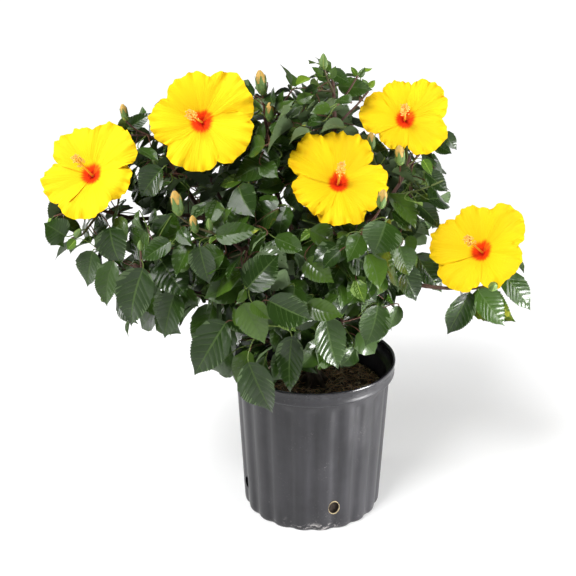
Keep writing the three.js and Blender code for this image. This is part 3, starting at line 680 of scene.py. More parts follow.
# Where leaves and twigs may be.
def inBloom(p, slack=0.0):
    q = p[:, None] - bloomCentres
    ahead = (q * bloomFaces).sum(2)
    off = np.linalg.norm(q - bloomFaces * ahead[:, :, None], axis=2)
    behind = (ahead > -bloomFoot - 6) & (off < 13)
    before = (ahead < 170) & (off < bloomRadii + 5 - slack + 0.18 * np.maximum(ahead, 0))
    return np.where(ahead <= -bloomCup - 4, behind, before).any(1)


def inPot(p):
    r = np.hypot(p[:, 0], p[:, 1])
    z = p[:, 2]
    rim = (z < pot["height"] + 5) & (r > 117) & (r < pot["rimRadius"] + 4)
    return rim | ((z < pot["soilTop"] + 8) & (r < pot["rimRadius"] + 4)) | (z < 150)


def inBud(p, own):
    q = p[:, None] - budTips
    room = np.array([12 if name == own else 9 for name in budOwners])
    return ((q[:, :, 1] < 6) & (q[:, :, 1] > -70) & (np.hypot(q[:, :, 0], q[:, :, 2]) < room)).any(1)


def inSpace(m, p):
    own = ((p - m["centre"]) ** 2).sum(1) - m["half"].mean() ** 2
    lead = ((p[:, None] - massCentres) ** 2).sum(2) - massWeights - own[:, None]
    wanted = 2 * spaceMargin * np.linalg.norm(massCentres - m["centre"], axis=1)
    clear = (lead > wanted) | (massCentres == m["centre"]).all(1)
    return ((((p - m["centre"]) / m["half"]) ** 2).sum(1) <= 1) & clear.all(1)


reachShare = 0.52  # how far a blade reaches from its middle, for its length


class Leaf:  # a petiole, then a blade whose midrib curls down towards the tip
    def __init__(self, spot, base, blade, width, way, face, curl):
        self.spot, self.base, self.way = spot, base, way
        self.blade, self.width, self.curl = blade, width, curl
        self.side = unit(np.cross(way, face))
        self.upper = unit(np.cross(self.side, way))
        self.wide = base + way * 0.36 * blade
        self.far = self.wide + self.turned(curl * 0.6) * 0.33 * blade
        self.tip = self.far + self.turned(curl) * 0.31 * blade
        self.middle = mixed(base, self.tip, 0.45)
        self.age = 0  # 1 is a young leaf
        self.light = False  # a finer leaf, of fewer faces
        self.lead = False  # one of the large leaves that show in front

    def turned(self, a):
        return self.way * math.cos(a) - self.upper * math.sin(a)

    def points(self):
        half, third = self.side * self.width / 2, self.side * self.width * 0.33
        return np.array([
            mixed(self.base, self.spot, 0.5), self.base, self.wide, self.far, self.tip,
            self.wide + half, self.wide - half, self.far + third, self.far - third,
        ])

    def lines(self):
        _, base, wide, far, tip, left, right, farLeft, farRight = self.points()
        starts = np.array([base, wide, far, base, left, farLeft, base, right, farRight, self.spot])
        ends = np.array([wide, far, tip, left, farLeft, tip, right, farRight, tip, base])
        return starts, ends

    def oval(self):  # one row of the numbers that Blades keeps
        ways = [*self.middle, *self.way, *self.side, *self.upper]
        return np.array([[*ways, *self.spot, *self.base, reachShare * self.blade, self.width / 2]])


class Blades:  # the leaves so far, as arrays
    def __init__(self):
        self.leaves = []
        self.numbers = np.zeros((1600, 20))
        self.starts = np.zeros((1600, 10, 3))
        self.ends = np.zeros((1600, 10, 3))

    def add(self, leaf):
        k = len(self.leaves)
        self.numbers[k] = leaf.oval()[0]
        self.starts[k], self.ends[k] = leaf.lines()
        self.leaves.append(leaf)

    def near(self, leaf):
        room = 70
        n = len(self.leaves)
        far = np.linalg.norm(self.numbers[:n, :3] - leaf.middle, axis=1)
        return np.flatnonzero(far < self.numbers[:n, 18] + reachShare * leaf.blade + room)

    def petioles(self):
        n = len(self.leaves)
        return self.numbers[:n, 12:15], self.numbers[:n, 15:18]


def meets(numbers, a, b, pad):
    # whether each line a-b comes within pad of each blade's oval
    middle, way, side, upper = numbers[:, 0:3], numbers[:, 3:6], numbers[:, 6:9], numbers[:, 9:12]
    long, half = numbers[:, 18:19] + pad, numbers[:, 19:20] + pad

    def place(p):
        q = p[None] - middle[:, None]
        return [(q * axis[:, None]).sum(2) for axis in (way, side, upper)]

    xa, ya, na = place(a)
    xb, yb, nb = place(b)

    def within(x, y):
        return (x / long) ** 2 + (y / half) ** 2 < 1

    close = (within(xa, ya) & (abs(na) < pad)) | (within(xb, yb) & (abs(nb) < pad))
    step = na - nb
    s = na / np.where(step == 0, 1, step)
    return close | ((na * nb < 0) & within(xa + (xb - xa) * s, ya + (yb - ya) * s))


def crossesAny(leaf, blades, pad=2.0):
    near = blades.near(leaf)
    if not len(near):
        return False
    starts, ends = leaf.lines()
    if meets(blades.numbers[near], starts, ends, pad).any():
        return True
    starts, ends = blades.starts[near].reshape(-1, 3), blades.ends[near].reshape(-1, 3)
    return meets(leaf.oval(), starts, ends, pad).any()


stalks = [b["stalk"] for b in blooms]
fixedWood = stacked([linesOf(p) for p in [*limbs.values(), *stems.values(), *stalks]])

growth = dict(  # the rule for the leaves, with the same numbers as the solids
    spots=12, tries=6, shorter=0.05, hold=0.45, flattest=0.25, near=12, twigOver=64, twigLength=30,
    twigSink=2.5, woodNear=280, swings=(0, 0.6, -0.6, 1.2, -1.2, 2.2),
)


class Spot:  # a drawn place for a leaf, with the draws that shape it
    def __init__(self, m, draw, blades):
        lift = 2 * draw() - 1
        turn = 2 * math.pi * draw()
        reach = mixed(0.25, 0.92, math.sqrt(draw()))
        flat = math.sqrt(1 - lift * lift)
        ray = np.array([flat * math.cos(turn), flat * math.sin(turn), lift]) * reach
        self.p = m["centre"] + ray * m["half"]
        wides = np.array([leaf.wide for leaf in blades]) if blades else np.zeros((0, 3))
        self.free = min([1e3, *np.linalg.norm(wides - self.p, axis=1)])  # room to the nearest leaf
        self.size, self.breadth, self.swing = draw(), draw(), draw()
        self.droop, self.roll, self.curl = draw(), draw(), draw()


def spun(flat, turn, rise):
    # a level direction turned about the upright, with its rise
    c, s = math.cos(turn), math.sin(turn)
    return np.array([flat[0] * c - flat[1] * s, flat[0] * s + flat[1] * c, rise])


def leafWays(m, spot, attempt):
    # where a leaf points and where its face looks
    outward = unit(spot.p - heart)
    swing = 1.5 * (spot.swing - 0.5) + growth["swings"][attempt]
    flat = unit(np.array([outward[0], outward[1], 0]))
    fall = 0.45 - 1.35 * m["droop"] * mixed(0.65, 1.35, spot.droop)
    yaw = 2.6 * (spot.roll - 0.5)
    return unit(spun(flat, swing, fall)), spun(flat, yaw, 0.75)


def twigTo(root, base, away):
    end = mixed(base, root, growth["twigLength"] / away) + upward * 3
    radii = np.array([twigRadius + 0.2, twigRadius - 0.2])
    return dict(points=np.array([root, end]), radii=radii, bud=0, end=end, rise=unit(end - root))


def frontLeaf(wood, base, way, breadth, twigOver):
    # a leaf that faces the front, and its twig where the wood is far
    long = float(np.linalg.norm(way))
    start, away = nearestWood(wood, base)
    twig = None
    if away > twigOver:
        twig = twigTo(start, base, away)
        start = twig["end"] - twig["rise"] * growth["twigSink"]
    face = np.array([0.25 * np.sign(base[0]), -1, 0.45])
    return Leaf(start, base, long, breadth, way / long, face, 0.25), twig


def growMass(m):
    # the leaves and twigs of one mass, leaf for leaf as the solids have them
    draw = stream(m["seed"])
    stem = stems[m["name"]]
    near = (np.linalg.norm(fixedWood[0] - m["centre"], axis=1) < growth["woodNear"])
    near |= np.linalg.norm(fixedWood[1] - m["centre"], axis=1) < growth["woodNear"]
    own = np.array([any(np.array_equal(a, s) for s in stem[0][:-1]) for a in fixedWood[0]])
    nearWood = tuple(rows[near] for rows in fixedWood)
    others = tuple(rows[near & ~own] for rows in fixedWood)
    wood = linesOf(stem)
    twigs = []
    blades = Blades()

    for x, y, z, bud in m["shoots"]:
        end = np.array([x, y, z], float)
        root, _ = nearestWood(tuple(rows[:3] for rows in wood), end - upward * 40)
        reach = np.linalg.norm(end - root)
        rise = unit(end - root)
        arrive = unit(rise + upward * (0.9 if bud > 0 else 0.2))
        points = bezier(root, root + rise * 0.35 * reach, end - arrive * 0.35 * reach, end, 3)
        radii = mixed(twigRadius + 0.5, 1.5, np.arange(4) / 3)
        twigs.append(dict(points=points, radii=radii, bud=bud))
        kept = 2 if bud > 0 else 3
        wood = stacked([wood, tuple(rows[:kept] for rows in linesOf((points, radii)))])

    def isOpen(p):
        return inSpace(m, p).all() and not (inPot(p) | inBloom(p) | inBud(p, m["name"])).any()

    def freeOf(a, b, r):
        if (apart(a, b, wood[0], wood[1]) <= wood[2] + r + 0.5).any():
            return False
        spots, bases = blades.petioles()
        return not len(spots) or not (apart(a, b, spots, bases) <= petioleRadius + r + 0.9).any()

    for base, tip, breadth in m["leads"]:
        base = np.array(base, float)
        leaf, twig = frontLeaf(wood, base, np.array(tip, float) - base, breadth, growth["twigOver"])
        if twig:
            twigs.append(twig)
            wood = stacked([wood, twigLines(twig)])
        leaf.lead = True
        blades.add(leaf)

    def tryLeaf(spot):
        blade = mixed(*m["leaf"], spot.size)
        for attempt in range(growth["tries"]):
            long = blade * (1 - growth["shorter"] * attempt)
            way, face = leafWays(m, spot, attempt)
            if np.linalg.norm(np.cross(face, way)) < growth["flattest"]:
                continue
            base = spot.p - way * growth["hold"] * long
            root, away = nearestWood(wood, base)
            if away < growth["near"]:
                continue
            start, twig = root, None
            if away > growth["twigOver"]:
                twig = twigTo(root, base, away)
                end, rise = twig["end"], twig["rise"]
                if not isOpen(np.array([mixed(root, end, 0.5), end])):
                    continue
                if (apart(root, end, others[0], others[1]) < others[2] + twigRadius + 1.5).any():
                    continue
                n = len(blades.leaves)
                if n and meets(blades.numbers[:n], root[None], end[None], 3.0).any():
                    continue
                if not freeOf(root + rise * 8, end, twigRadius):
                    continue
                start = end - rise * growth["twigSink"]
            if not freeOf(start + unit(base - start) * 7, base, petioleRadius + 0.5):
                continue
            broad = long * mixed(0.62, 0.74, spot.breadth)
            leaf = Leaf(start, base, long, broad, way, face, mixed(0.15, 0.6, spot.curl))
            if not isOpen(leaf.points()):
                continue
            own = leaf.oval()
            if meets(own, nearWood[0], nearWood[1], nearWood[2] + 1.5).any():
                continue
            if (apart(start, base, others[0], others[1]) < others[2] + petioleRadius + 1.2).any():
                continue
            if meets(own, wood[0], wood[1], 3.0).any() or crossesAny(leaf, blades):
                continue
            return leaf, twig
        return None

    for _ in range(len(blades.leaves), m["leaves"]):
        spots = [Spot(m, draw, blades.leaves) for _ in range(growth["spots"])]
        spots.sort(key=lambda s: -s.free)
        for spot in spots:
            if not inSpace(m, spot.p[None])[0]:
                continue
            made = tryLeaf(spot)
            if made is None:
                continue
            leaf, twig = made
            if twig:
                twigs.append(twig)
                wood = stacked([wood, twigLines(twig)])
            blades.add(leaf)
            break
    return dict(twigs=twigs, leaves=blades.leaves, wood=wood, draw=draw)


grown = {m["name"]: growMass(m) for m in masses}
print("grown as in the solids:", sum(len(g["leaves"]) for g in grown.values()), "leaves")


# Finer growth: small twigs and leaves by the same rule, inside the same reach and clear of the whole crown.
finer = dict(
    seed=5, perMass=75, scale=(0.6, 1.0), near=9, far=150, twigOver=42, twigShare=0.72, pad=1.0, spots=10,
    tried=7, loneliest=400, frontTwigOver=50, tipLeaves=(20, 40), reachMargin=3,
    steps=(0, -8, 8, -16, 16, -24, 24, 36),
    fewer=dict(far_right=3, far_left=26, upper_right=46, top=40),
)
viewer = np.array(view["place"]) * 1000  # the camera, in millimetres
# Where the photo shows sky: place across, height and radius on the upright plane through the pot's middle.
skyGaps = np.array([
    (255, 556, 54), (54, 737, 20), (-291, 673, 15), (-248, 680, 12), (185, 326, 24), (279, 274, 29),
    (341, 293, 29), (-327, 309, 30), (-278, 260, 26), (-161, 172, 34), (-128, 194, 13), (86, 224, 30),
    (33, 220, 15), (156, 333, 20), (136, 280, 20),
], float)
# Leaves that fill out the front where it is thick: the mass that each belongs to, base, tip and breadth.
frontLeaves = [
    ("right_mid", (132, -40, 440), (160, -46, 380), 40), ("right_mid", (158, 0, 436), (206, -6, 372), 42),
    ("right_mid", (148, -10, 505), (142, -16, 456), 30),
    ("upper_right", (158, 0, 517), (196, -6, 480), 26),
    ("left_low", (-151, -60, 384), (-178, -74, 305), 46),
    ("far_left", (-378, -40, 500), (-404, -46, 468), 26),
    ("upper_right", (198, 60, 609), (224, 60, 580), 20),
    ("far_right", (290, -20, 414), (330, -24, 360), 26), ("centre", (-36, -30, 552), (-18, -40, 508), 30),
    ("right_low", (55, -70, 410), (46, -84, 366), 32), ("right_low", (58, -50, 362), (64, -62, 306), 32),
]
# Young leaves that shine out of the crown.
youngLeaves = [
    ("low_centre", (-100, -165, 422), (-70, -175, 358), 42),
    ("right_low", (-8, -130, 408), (42, -150, 401), 34),
    ("centre", (-105, -60, 526), (-135, -70, 560), 24),
    ("centre", (-87, -170, 429), (-61, -180, 406), 20),
    ("upper_centre", (-58, 0, 663), (-47, 0, 692), 15),
    ("upper_centre", (-56, -6, 665), (-31, -10, 682), 15), ("top", (-27, 14, 674), (-2, 6, 686), 16),
    ("top", (-27, 10, 672), (1, 0, 671), 15), ("right_mid", (143, -20, 473), (152, -34, 449), 18),
    ("upper_right", (162, 10, 587), (177, 0, 565), 16), ("top", (22, 10, 708), (30, 6, 726), 12),
    ("top", (10, 16, 709), (-5, 14, 724), 11), ("left_low", (-354, -70, 481), (-368, -76, 467), 15),
    ("top", (65, 40, 704), (74, 42, 719), 10), ("top", (62, 42, 703), (53, 45, 718), 9),
    ("top", (81, 43, 678), (92, 46, 689), 10), ("top", (79, 46, 677), (72, 56, 690), 9),
]

# Places where the masses stand apart seen from the sides: the mass whose leaves close each one, its middle,
# half sizes and number of leaves.
betweens = [
    ("right_low", (84, 52, 352), (62, 60, 66), 34), ("back_right", (104, 70, 400), (60, 60, 60), 22),
    ("left_low", (-168, 58, 402), (64, 66, 66), 34), ("low_centre", (-110, 28, 344), (56, 60, 66), 30),
    ("back_low", (30, 96, 318), (80, 50, 50), 22), ("back_low", (-96, 96, 322), (70, 54, 50), 22),
]


def onPlane(p):
    # where a point is seen on the upright plane through the pot's middle
    share = viewer[1] / (viewer[1] - p[..., 1])
    return (viewer + (p - viewer) * share[..., None])[..., (0, 2)]


def inSky(p):
    away = np.linalg.norm(onPlane(p)[:, None] - skyGaps[:, :2], axis=2)
    return away < skyGaps[:, 2]


leads = [leaf for g in grown.values() for leaf in g["leaves"] if leaf.lead]
leadMiddles = np.array([leaf.middle for leaf in leads])
leadSizes = np.array([leaf.blade for leaf in leads])


def hides(p, share):
    # whether points stand in front of one of the large leaves
    away = np.linalg.norm(onPlane(p)[:, None] - onPlane(leadMiddles), axis=2)
    return (away < leadSizes * share) & (p[:, 1:2] < leadMiddles[:, 1] + 10)


def thin(g):
    # takes out the leaves that stand in the sky gaps or hide a large leaf, with their twigs
    kept = []
    for leaf in g["leaves"]:
        if not leaf.lead and (inSky(leaf.points()[1:]).any() or hides(leaf.points()[1:5], 0.42).any()):
            spot = leaf.spot
            g["twigs"] = [t for t in g["twigs"] if "end" not in t or np.linalg.norm(t["end"] - spot) > 4]
        else:
            kept.append(leaf)
    g["leaves"] = kept


for g in grown.values():
    thin(g)
print("kept clear of the sky gaps:", sum(len(g["leaves"]) for g in grown.values()))
crown = Blades()
for g in grown.values():
    for leaf in g["leaves"]:
        crown.add(leaf)
allWood = stacked([fixedWood] + [twigLines(twig) for g in grown.values() for twig in g["twigs"]])
lowEnd = np.array(cadBox[0]) * 1000 + finer["reachMargin"]
highEnd = np.array(cadBox[1]) * 1000 - finer["reachMargin"]


def isClear(p, small=False):
    inside = ((p > lowEnd) & (p < highEnd)).all()
    if not inside or (inSky(p).any() and not small) or hides(p[1:], 0.48).any():
        return False
    return not (inPot(p) | inBloom(p) | inBud(p, None)).any()


def keep(g, leaf, twig=None):
    # adds a leaf, and its twig if it has one, to a mass and to the crown
    global allWood
    if twig:
        g["twigs"].append(twig)
        g["wood"] = stacked([g["wood"], twigLines(twig)])
        allWood = stacked([allWood, twigLines(twig)])
    crown.add(leaf)
    g["leaves"].append(leaf)


def addFront(row, young=False):
    # one leaf where the photo shows it, moved forwards or back until it is clear
    mass, base, tip, breadth = row
    g = grown[mass]
    for step in finer["steps"]:
        first = np.array(base, float) + [0, step, 0]
        way = np.array(tip, float) - base
        leaf, twig = frontLeaf(g["wood"], first, way, breadth, finer["frontTwigOver"])
        leaf.age = int(young)
        if inBloom(leaf.points(), 6).any() or crossesAny(leaf, crown, 0.5):
            continue
        if meets(leaf.oval(), allWood[0], allWood[1], allWood[2] + 0.5).any():
            continue
        keep(g, leaf, twig)
        return True
    return False


def fits(leaf, pad):
    # whether a leaf is clear of every blade, petiole and piece of wood but the one it springs from
    if not isClear(leaf.points()):
        return False
    if meets(leaf.oval(), allWood[0], allWood[1], allWood[2] + pad).any():
        return False
    away = leaf.spot + unit(leaf.base - leaf.spot) * 7
    if (apart(away, leaf.base, allWood[0], allWood[1]) < allWood[2] + petioleRadius + 0.6).any():
        return False
    spots, bases = crown.petioles()
    if (apart(away, leaf.base, spots, bases) < 2 * petioleRadius + 0.6).any():
        return False
    return not crossesAny(leaf, crown, pad)


def twigFits(root, twig):
    end, rise = twig["end"], twig["rise"]
    if not isClear(np.array([mixed(root, end, 0.5), end])):
        return False
    if (apart(root + rise * 7, end, allWood[0], allWood[1]) < allWood[2] + 1.8).any():
        return False
    if meets(crown.numbers[:len(crown.leaves)], root[None], end[None], 1.6).any():
        return False
    return not (apart(root + rise * 6, end, *crown.petioles()) < 2.4).any()


def tryFiner(m, spot, blade):
    for attempt in range(growth["tries"]):
        long = blade * (1 - growth["shorter"] * attempt)
        way, face = leafWays(m, spot, attempt)
        if np.linalg.norm(np.cross(face, way)) < growth["flattest"]:
            continue
        base = spot.p - way * growth["hold"] * long
        root, away = nearestWood(grown[m["name"]]["wood"], base)
        if away < finer["near"] or away > finer["far"]:
            continue
        start, twig = root, None
        if away > finer["twigOver"]:
            twig = twigTo(root, base, away)
            twig["radii"] = twig["radii"] * finer["twigShare"]
            if not twigFits(root, twig):
                continue
            start = twig["end"] - twig["rise"] * growth["twigSink"]
        broad = long * mixed(0.58, 0.72, spot.breadth)
        leaf = Leaf(start, base, long, broad, way, face, mixed(0.15, 0.7, spot.curl))
        leaf.light = True
        if fits(leaf, finer["pad"]):
            return leaf, twig
    return None


def fillMass(m, wanted):
    g = grown[m["name"]]
    draw = g["draw"]
    for _ in range(wanted):
        spots = [Spot(m, draw, crown.leaves) for _ in range(finer["spots"])]
        spots.sort(key=lambda s: -s.free)
        for spot in spots[:finer["tried"]]:
            if spot.free > finer["loneliest"]:
                continue
            blade = mixed(*m["leaf"], spot.size) * mixed(*finer["scale"], draw())
            made = tryFiner(m, spot, blade)
            if made:
                keep(g, *made)
                break


def tipLeaves(m, rng):
    # a few young leaves round the end of every shoot and stem
    g = grown[m["name"]]
    stem = stems[m["name"]][0]
    ends = [(stem[-1], unit(stem[-1] - stem[-2]), 5)]
    for twig in g["twigs"]:
        way = unit(twig["points"][-1] - twig["points"][-2])
        if "end" not in twig:
            back, count = (4, 3) if twig["bud"] else (0, 4)
            ends.append((twig["points"][-1] - way * back, way, count))
        elif rng.random() < 0.4:
            ends.append((twig["points"][-1], way, 2))
    for end, way, count in ends:
        turn = rng.random() * anyTurn[1]
        whole = count
        for k in range(count + 9):
            if count <= 0 or (k > whole + 3 and count < whole):
                break
            small = k > whole + 3
            a = turn + 2.4 * k
            side = unit(np.cross(way, [0.31, 0.27, 0.91]))
            other = np.cross(way, side)
            out = side * math.cos(a) + other * math.sin(a)
            rise = unit(out + way * rng.uniform(0.35, 1.1) + upward * 0.25)
            long = rng.uniform(*finer["tipLeaves"]) * (0.6 if small else 1)
            base = end + rise * rng.uniform(6, 14)
            broad = long * rng.uniform(0.5, 0.66)
            face = unit(way + out * 0.3 + upward * 0.2)
            ahead, curl = unit(rise - upward * 0.15), rng.uniform(0.1, 0.5)
            leaf = Leaf(end - way * 1.5, base, long, broad, ahead, face, curl)
            leaf.age = 1
            leaf.light = True
            if not isClear(leaf.points(), small) or crossesAny(leaf, crown, 0.4 if small else 0.8):
                continue
            if meets(leaf.oval(), allWood[0], allWood[1], 0.5 if small else 0.8).any():
                continue
            keep(g, leaf)
            count -= 1


print("front leaves:", sum(addFront(row) for row in frontLeaves), "of", len(frontLeaves))
print("young leaves:", sum(addFront(row, True) for row in youngLeaves), "of", len(youngLeaves))
growthDraw = np.random.default_rng(finer["seed"])
for m in masses:
    tipLeaves(m, growthDraw)
print("with young leaves:", len(crown.leaves))
for m in masses:
    fillMass(m, finer["fewer"].get(m["name"], finer["perMass"]))
for m in masses:
    for name, centre, half, count in betweens:
        if name == m["name"]:
            fillMass(dict(m, centre=np.array(centre, float), half=np.array(half, float)), count)
print("with finer growth:", len(crown.leaves))


# Leaves.
leafShape = dict(
    veins=(0.05, 0.15, 0.26, 0.385, 0.52, 0.66, 0.8),
    between=((0.3, -1, 0.8), (0.55, 0.8, 1.0), (0.8, -1, 0.7)),  # share of the way, tooth, bulge
    lightVeins=(0.1, 0.3, 0.52, 0.74), lightBetween=((0.5, 0.3, 0.9),),
    veinHalf=0.0045, slant=0.34, tooth=0.05, thickness=0.5, quilt=0.72, fold=(0.12, 0.55), wave=(1.2, 4.6),
    twist=0.8, baseRound=0.52, tipTaper=1.02, drip=0.4, broad=1.1,
)
leafKinds = [  # name, colour, roughness, coat
    ("deep leaf 1", (0.0135, 0.033, 0.004), 0.27, 0.66),
    ("deep leaf 2", (0.0195, 0.047, 0.005), 0.27, 0.66),
    ("deep leaf 3", (0.029, 0.065, 0.007), 0.27, 0.66),
    ("deep leaf 4", (0.046, 0.092, 0.010), 0.27, 0.66),
    ("fresh leaf 1", (0.062, 0.125, 0.012), 0.42, 0.25),
    ("fresh leaf 2", (0.16, 0.26, 0.022), 0.42, 0.25),
    ("yellowed leaf", (0.27, 0.29, 0.03), 0.5, 0.1),
    ("vein", (0.050, 0.088, 0.022), 0.42, 0.2),
    ("fresh vein", (0.24, 0.36, 0.05), 0.45, 0.2),
    ("leaf underside", (0.080, 0.120, 0.052), 0.6, 0.0),
    ("fresh underside", (0.20, 0.30, 0.08), 0.6, 0.0),
    ("green petiole", (0.11, 0.16, 0.035), 0.5, 0.1),
    ("reddened petiole", (0.10, 0.045, 0.028), 0.5, 0.1),
    ("yellowing leaf", (0.105, 0.155, 0.016), 0.4, 0.2),
]
# places in that list: a fresh leaf takes the vein and underside that come next
firstFresh, yellowTint, veinTint, underTint, petioleTint, yellowingTint = 4, 6, 7, 9, 11, 13
# how often a leaf has each colour: the large ones in front, all others, and the young
leafShares = dict(lead=[0.4, 0.38, 0.22, 0], other=[0.3, 0.34, 0.24, 0.12], young=[0.2, 0.4, 0.28, 0.12])


def leafFinish(name, colour, rough, coat):
    finish = Finish(name, Coat_Roughness=0.13, Specular_IOR_Level=0.12)
    finish.set("Base Color", colour)
    place = finish.places()
    cells = finish.noise(place, 420, 2, 0.6)
    broad = finish.noise(place, 38, 2)
    finish.set("Roughness", finish.span(broad, 0.3, 0.7, (rough - 0.06, rough + 0.1)))
    finish.set("Coat Weight", finish.span(broad, 0.3, 0.7, (coat, coat * 0.4)))
    return finish.bump(cells * 0.12 + broad, 0.6, 0.004)


leafFinishes = [leafFinish(*row) for row in leafKinds]


def leafGrid(veins, between, ends):
    # rows follow the side veins, so each vein is a strip of faces of its own
    s = leafShape
    rows = [(0.0, 0, 0, 0.0), (0.02, 0, 0, 0.3)]  # place on the midrib, vein side, tooth, bulge
    for k, r in enumerate(veins):
        rows += [(r, -1, 1, 0.0), (r, 1, 1, 0.0)]
        following = veins[k + 1] if k + 1 < len(veins) else 0.92
        rows += [(mixed(r, following, f), 0, t, b) for f, t, b in between]
    rows = np.array(rows + ends)
    u = np.array([-1, -0.56, -0.05, 0.05, 0.56, 1.0])
    r, half, tooth, bulge = [rows[:, k][:, None] for k in range(4)]
    size = abs(u)[None]
    ease = np.clip(r / 0.16, 0, 1)
    eased = ease * ease * (3 - 2 * ease)
    v = r + s["slant"] * size * (1 - r) * eased * np.clip((1 - r) / 0.25, 0, 1) ** 0.5
    v = v + half * s["veinHalf"] * (1 - 0.8 * size) + 0.012 * tooth * (size == 1)
    v = np.clip(v, 0, 1)
    v[0], v[-1] = 0, 1
    low, high = s["baseRound"], s["tipTaper"]
    widest = low / (low + high)
    outline = (np.maximum(v, 1e-6) / widest) ** low * (np.maximum(1 - v, 1e-6) / (1 - widest)) ** high
    outline = outline * (1 - s["drip"] * np.clip((v - 0.72) / 0.2, 0, 1) ** 1.5)
    outline = np.maximum(outline, 0.035 * (1 - v) + 0.012)
    toothed = 1 + s["tooth"] * tooth * (size == 1) * np.clip((v - 0.12) / 0.2, 0, 1)
    across = u * outline * toothed
    bell = 4 * size * (1 - size)
    raised = s["quilt"] * bulge * bell + 0.35 * s["quilt"] * bulge * (size == 1)
    thick = s["thickness"] * (1 - size ** 2) * (v > 0) * (v < 1)
    n, c = v.shape
    top, under = sheetFaces(n, c)
    strip = np.zeros((n - 1, c - 1), int)
    strip[(half[:-1, 0] == -1) & (half[1:, 0] == 1)] = 1
    strip[:, 2] = 1
    return dict(
        v=v, across=across, raised=raised, thick=thick, size=np.broadcast_to(size, v.shape),
        top=top, under=np.roll(under, -1, 1), strip=strip.ravel(), inner=(slice(1, -1), slice(1, -1)),
        places=np.stack([np.broadcast_to(u, v.shape) * 0.5 + 0.5, v], -1),
    )


tipRows = [(0.92, 0, 1, 0.3), (0.955, 0, -0.6, 0.15), (0.98, 0, 0, 0.05), (1.0, 0, 0, 0.0)]
fullGrid = leafGrid(leafShape["veins"], leafShape["between"], tipRows)
lightGrid = leafGrid(leafShape["lightVeins"], leafShape["lightBetween"], tipRows[1:])


def addLeaf(batch, leaf, rng):
    s = leafShape
    grid = lightGrid if leaf.light else fullGrid
    young = leaf.age == 1
    tone = rng.choice(4, p=leafShares["lead" if leaf.lead else "other"])
    if young:
        tone = rng.choice([2, 3, 4, 5], p=leafShares["young"])
        tone = min(tone, firstFresh - 1) if leaf.blade > 32 else tone
    elif leaf.light and rng.random() < 0.06:
        tone = firstFresh
    fold = rng.uniform(*s["fold"]) * (1.3 if young else 1)
    wave, phase = rng.uniform(*s["wave"]), rng.uniform(0, 6.28)
    twist = rng.normal(0, s["twist"] * 0.5)
    bow = rng.uniform(-0.12, 0.16)
    v, across, size = grid["v"], grid["across"], grid["size"]
    # the midrib: way turned down by an angle that grows towards the tip
    t = np.linspace(0, 1, 41)
    fall = leaf.curl * 1.1 * np.clip((t - 0.22) / 0.6, 0, 1) + 0.35 * np.clip((t - 0.86) / 0.14, 0, 1) ** 2
    steps = np.c_[np.cos(fall), -np.sin(fall)]
    steps = (steps[1:] + steps[:-1]) / 2 * np.diff(t)[:, None]
    run = np.r_[[[0, 0]], np.cumsum(steps, axis=0)] * leaf.blade
    ahead, drop = np.interp(v, t, run[:, 0]), np.interp(v, t, run[:, 1])
    angle = np.interp(v, t, fall)
    middle = leaf.base + ahead[..., None] * leaf.way + drop[..., None] * leaf.upper
    middle = middle + (bow * leaf.blade * 0.25 * np.sin(math.pi * v))[..., None] * leaf.side
    up = np.cos(angle)[..., None] * leaf.upper + np.sin(angle)[..., None] * leaf.way
    turn = (twist * (v - 0.3))[..., None]
    side = leaf.side * np.cos(turn) + up * np.sin(turn)
    up = up * np.cos(turn) - leaf.side * np.sin(turn)
    tilt = fold * (1 - 0.5 * v)
    reach = across * leaf.width / 2 * s["broad"]
    scale = leaf.blade / 80
    height = abs(reach) * np.sin(tilt) + grid["raised"] * scale
    ripple = np.sin(6.2 * v + phase + 1.7 * (across > 0))
    height = height + wave * scale * size ** 2 * ripple * np.sin(math.pi * v)
    points = middle + side * (reach * np.cos(tilt))[..., None] + up * height[..., None]
    ends = points.reshape(-1, 3)
    shift = np.maximum(lowEnd - 2 - ends.min(0), 0) - np.maximum(ends.max(0) - highEnd - 2, 0)
    points = points + shift
    inner = grid["inner"]
    below = points[inner] - up[inner] * (grid["thick"][inner] * max(scale, 0.5))[..., None]
    allPoints = np.concatenate([points.reshape(-1, 3), below.reshape(-1, 3)])
    places = np.concatenate([grid["places"].reshape(-1, 2), grid["places"][inner].reshape(-1, 2)])
    late = int(tone >= firstFresh)
    tints = np.where(grid["strip"] == 1, veinTint + late, tone)
    if not young and rng.random() < 0.045:
        centres = points.reshape(-1, 3)[grid["top"]].mean(1)
        spot = centres[rng.integers(len(centres))]
        away = np.linalg.norm(centres - spot, axis=1) / (leaf.blade * rng.uniform(0.08, 0.18))
        tints = np.where((away < 1) & (grid["strip"] == 0), yellowingTint, tints)
        tints = np.where((away < 0.5) & (grid["strip"] == 0), yellowTint, tints)
    batch.add(allPoints, grid["top"], tints, places)
    batch.addFaces(grid["under"], underTint + late)
    # the petiole bends from the twig into the midrib
    base = leaf.base + shift
    long = np.linalg.norm(base - leaf.spot)
    leave = unit(unit(base - leaf.spot) + upward * 0.35)
    before = base - leaf.way * 0.3 * long
    sweep = bezier(leaf.spot, leaf.spot + leave * 0.38 * long, before, base + leaf.way * 1.5, 6)
    radii = (0.62 if young else 0.9) * np.array([1.25, 1.0, 0.92, 0.9, 0.95, 1.05, 0.8])
    addTube(batch, sweep, radii, 5, petioleTint + int(rng.random() < 0.35))


def makeLeaves():
    rng = np.random.default_rng(17)
    total = 0
    for m in masses:
        batch = Batch()
        for leaf in grown[m["name"]]["leaves"]:
            addLeaf(batch, leaf, rng)
        name = m["name"]
        made = batch.piece("foliage_" + name, leafFinishes, ["leaves_" + name], crease=75)
        total += len(made.data.loops) - 2 * len(made.data.polygons)
    print("leaves made, triangles:", total)


makeLeaves()


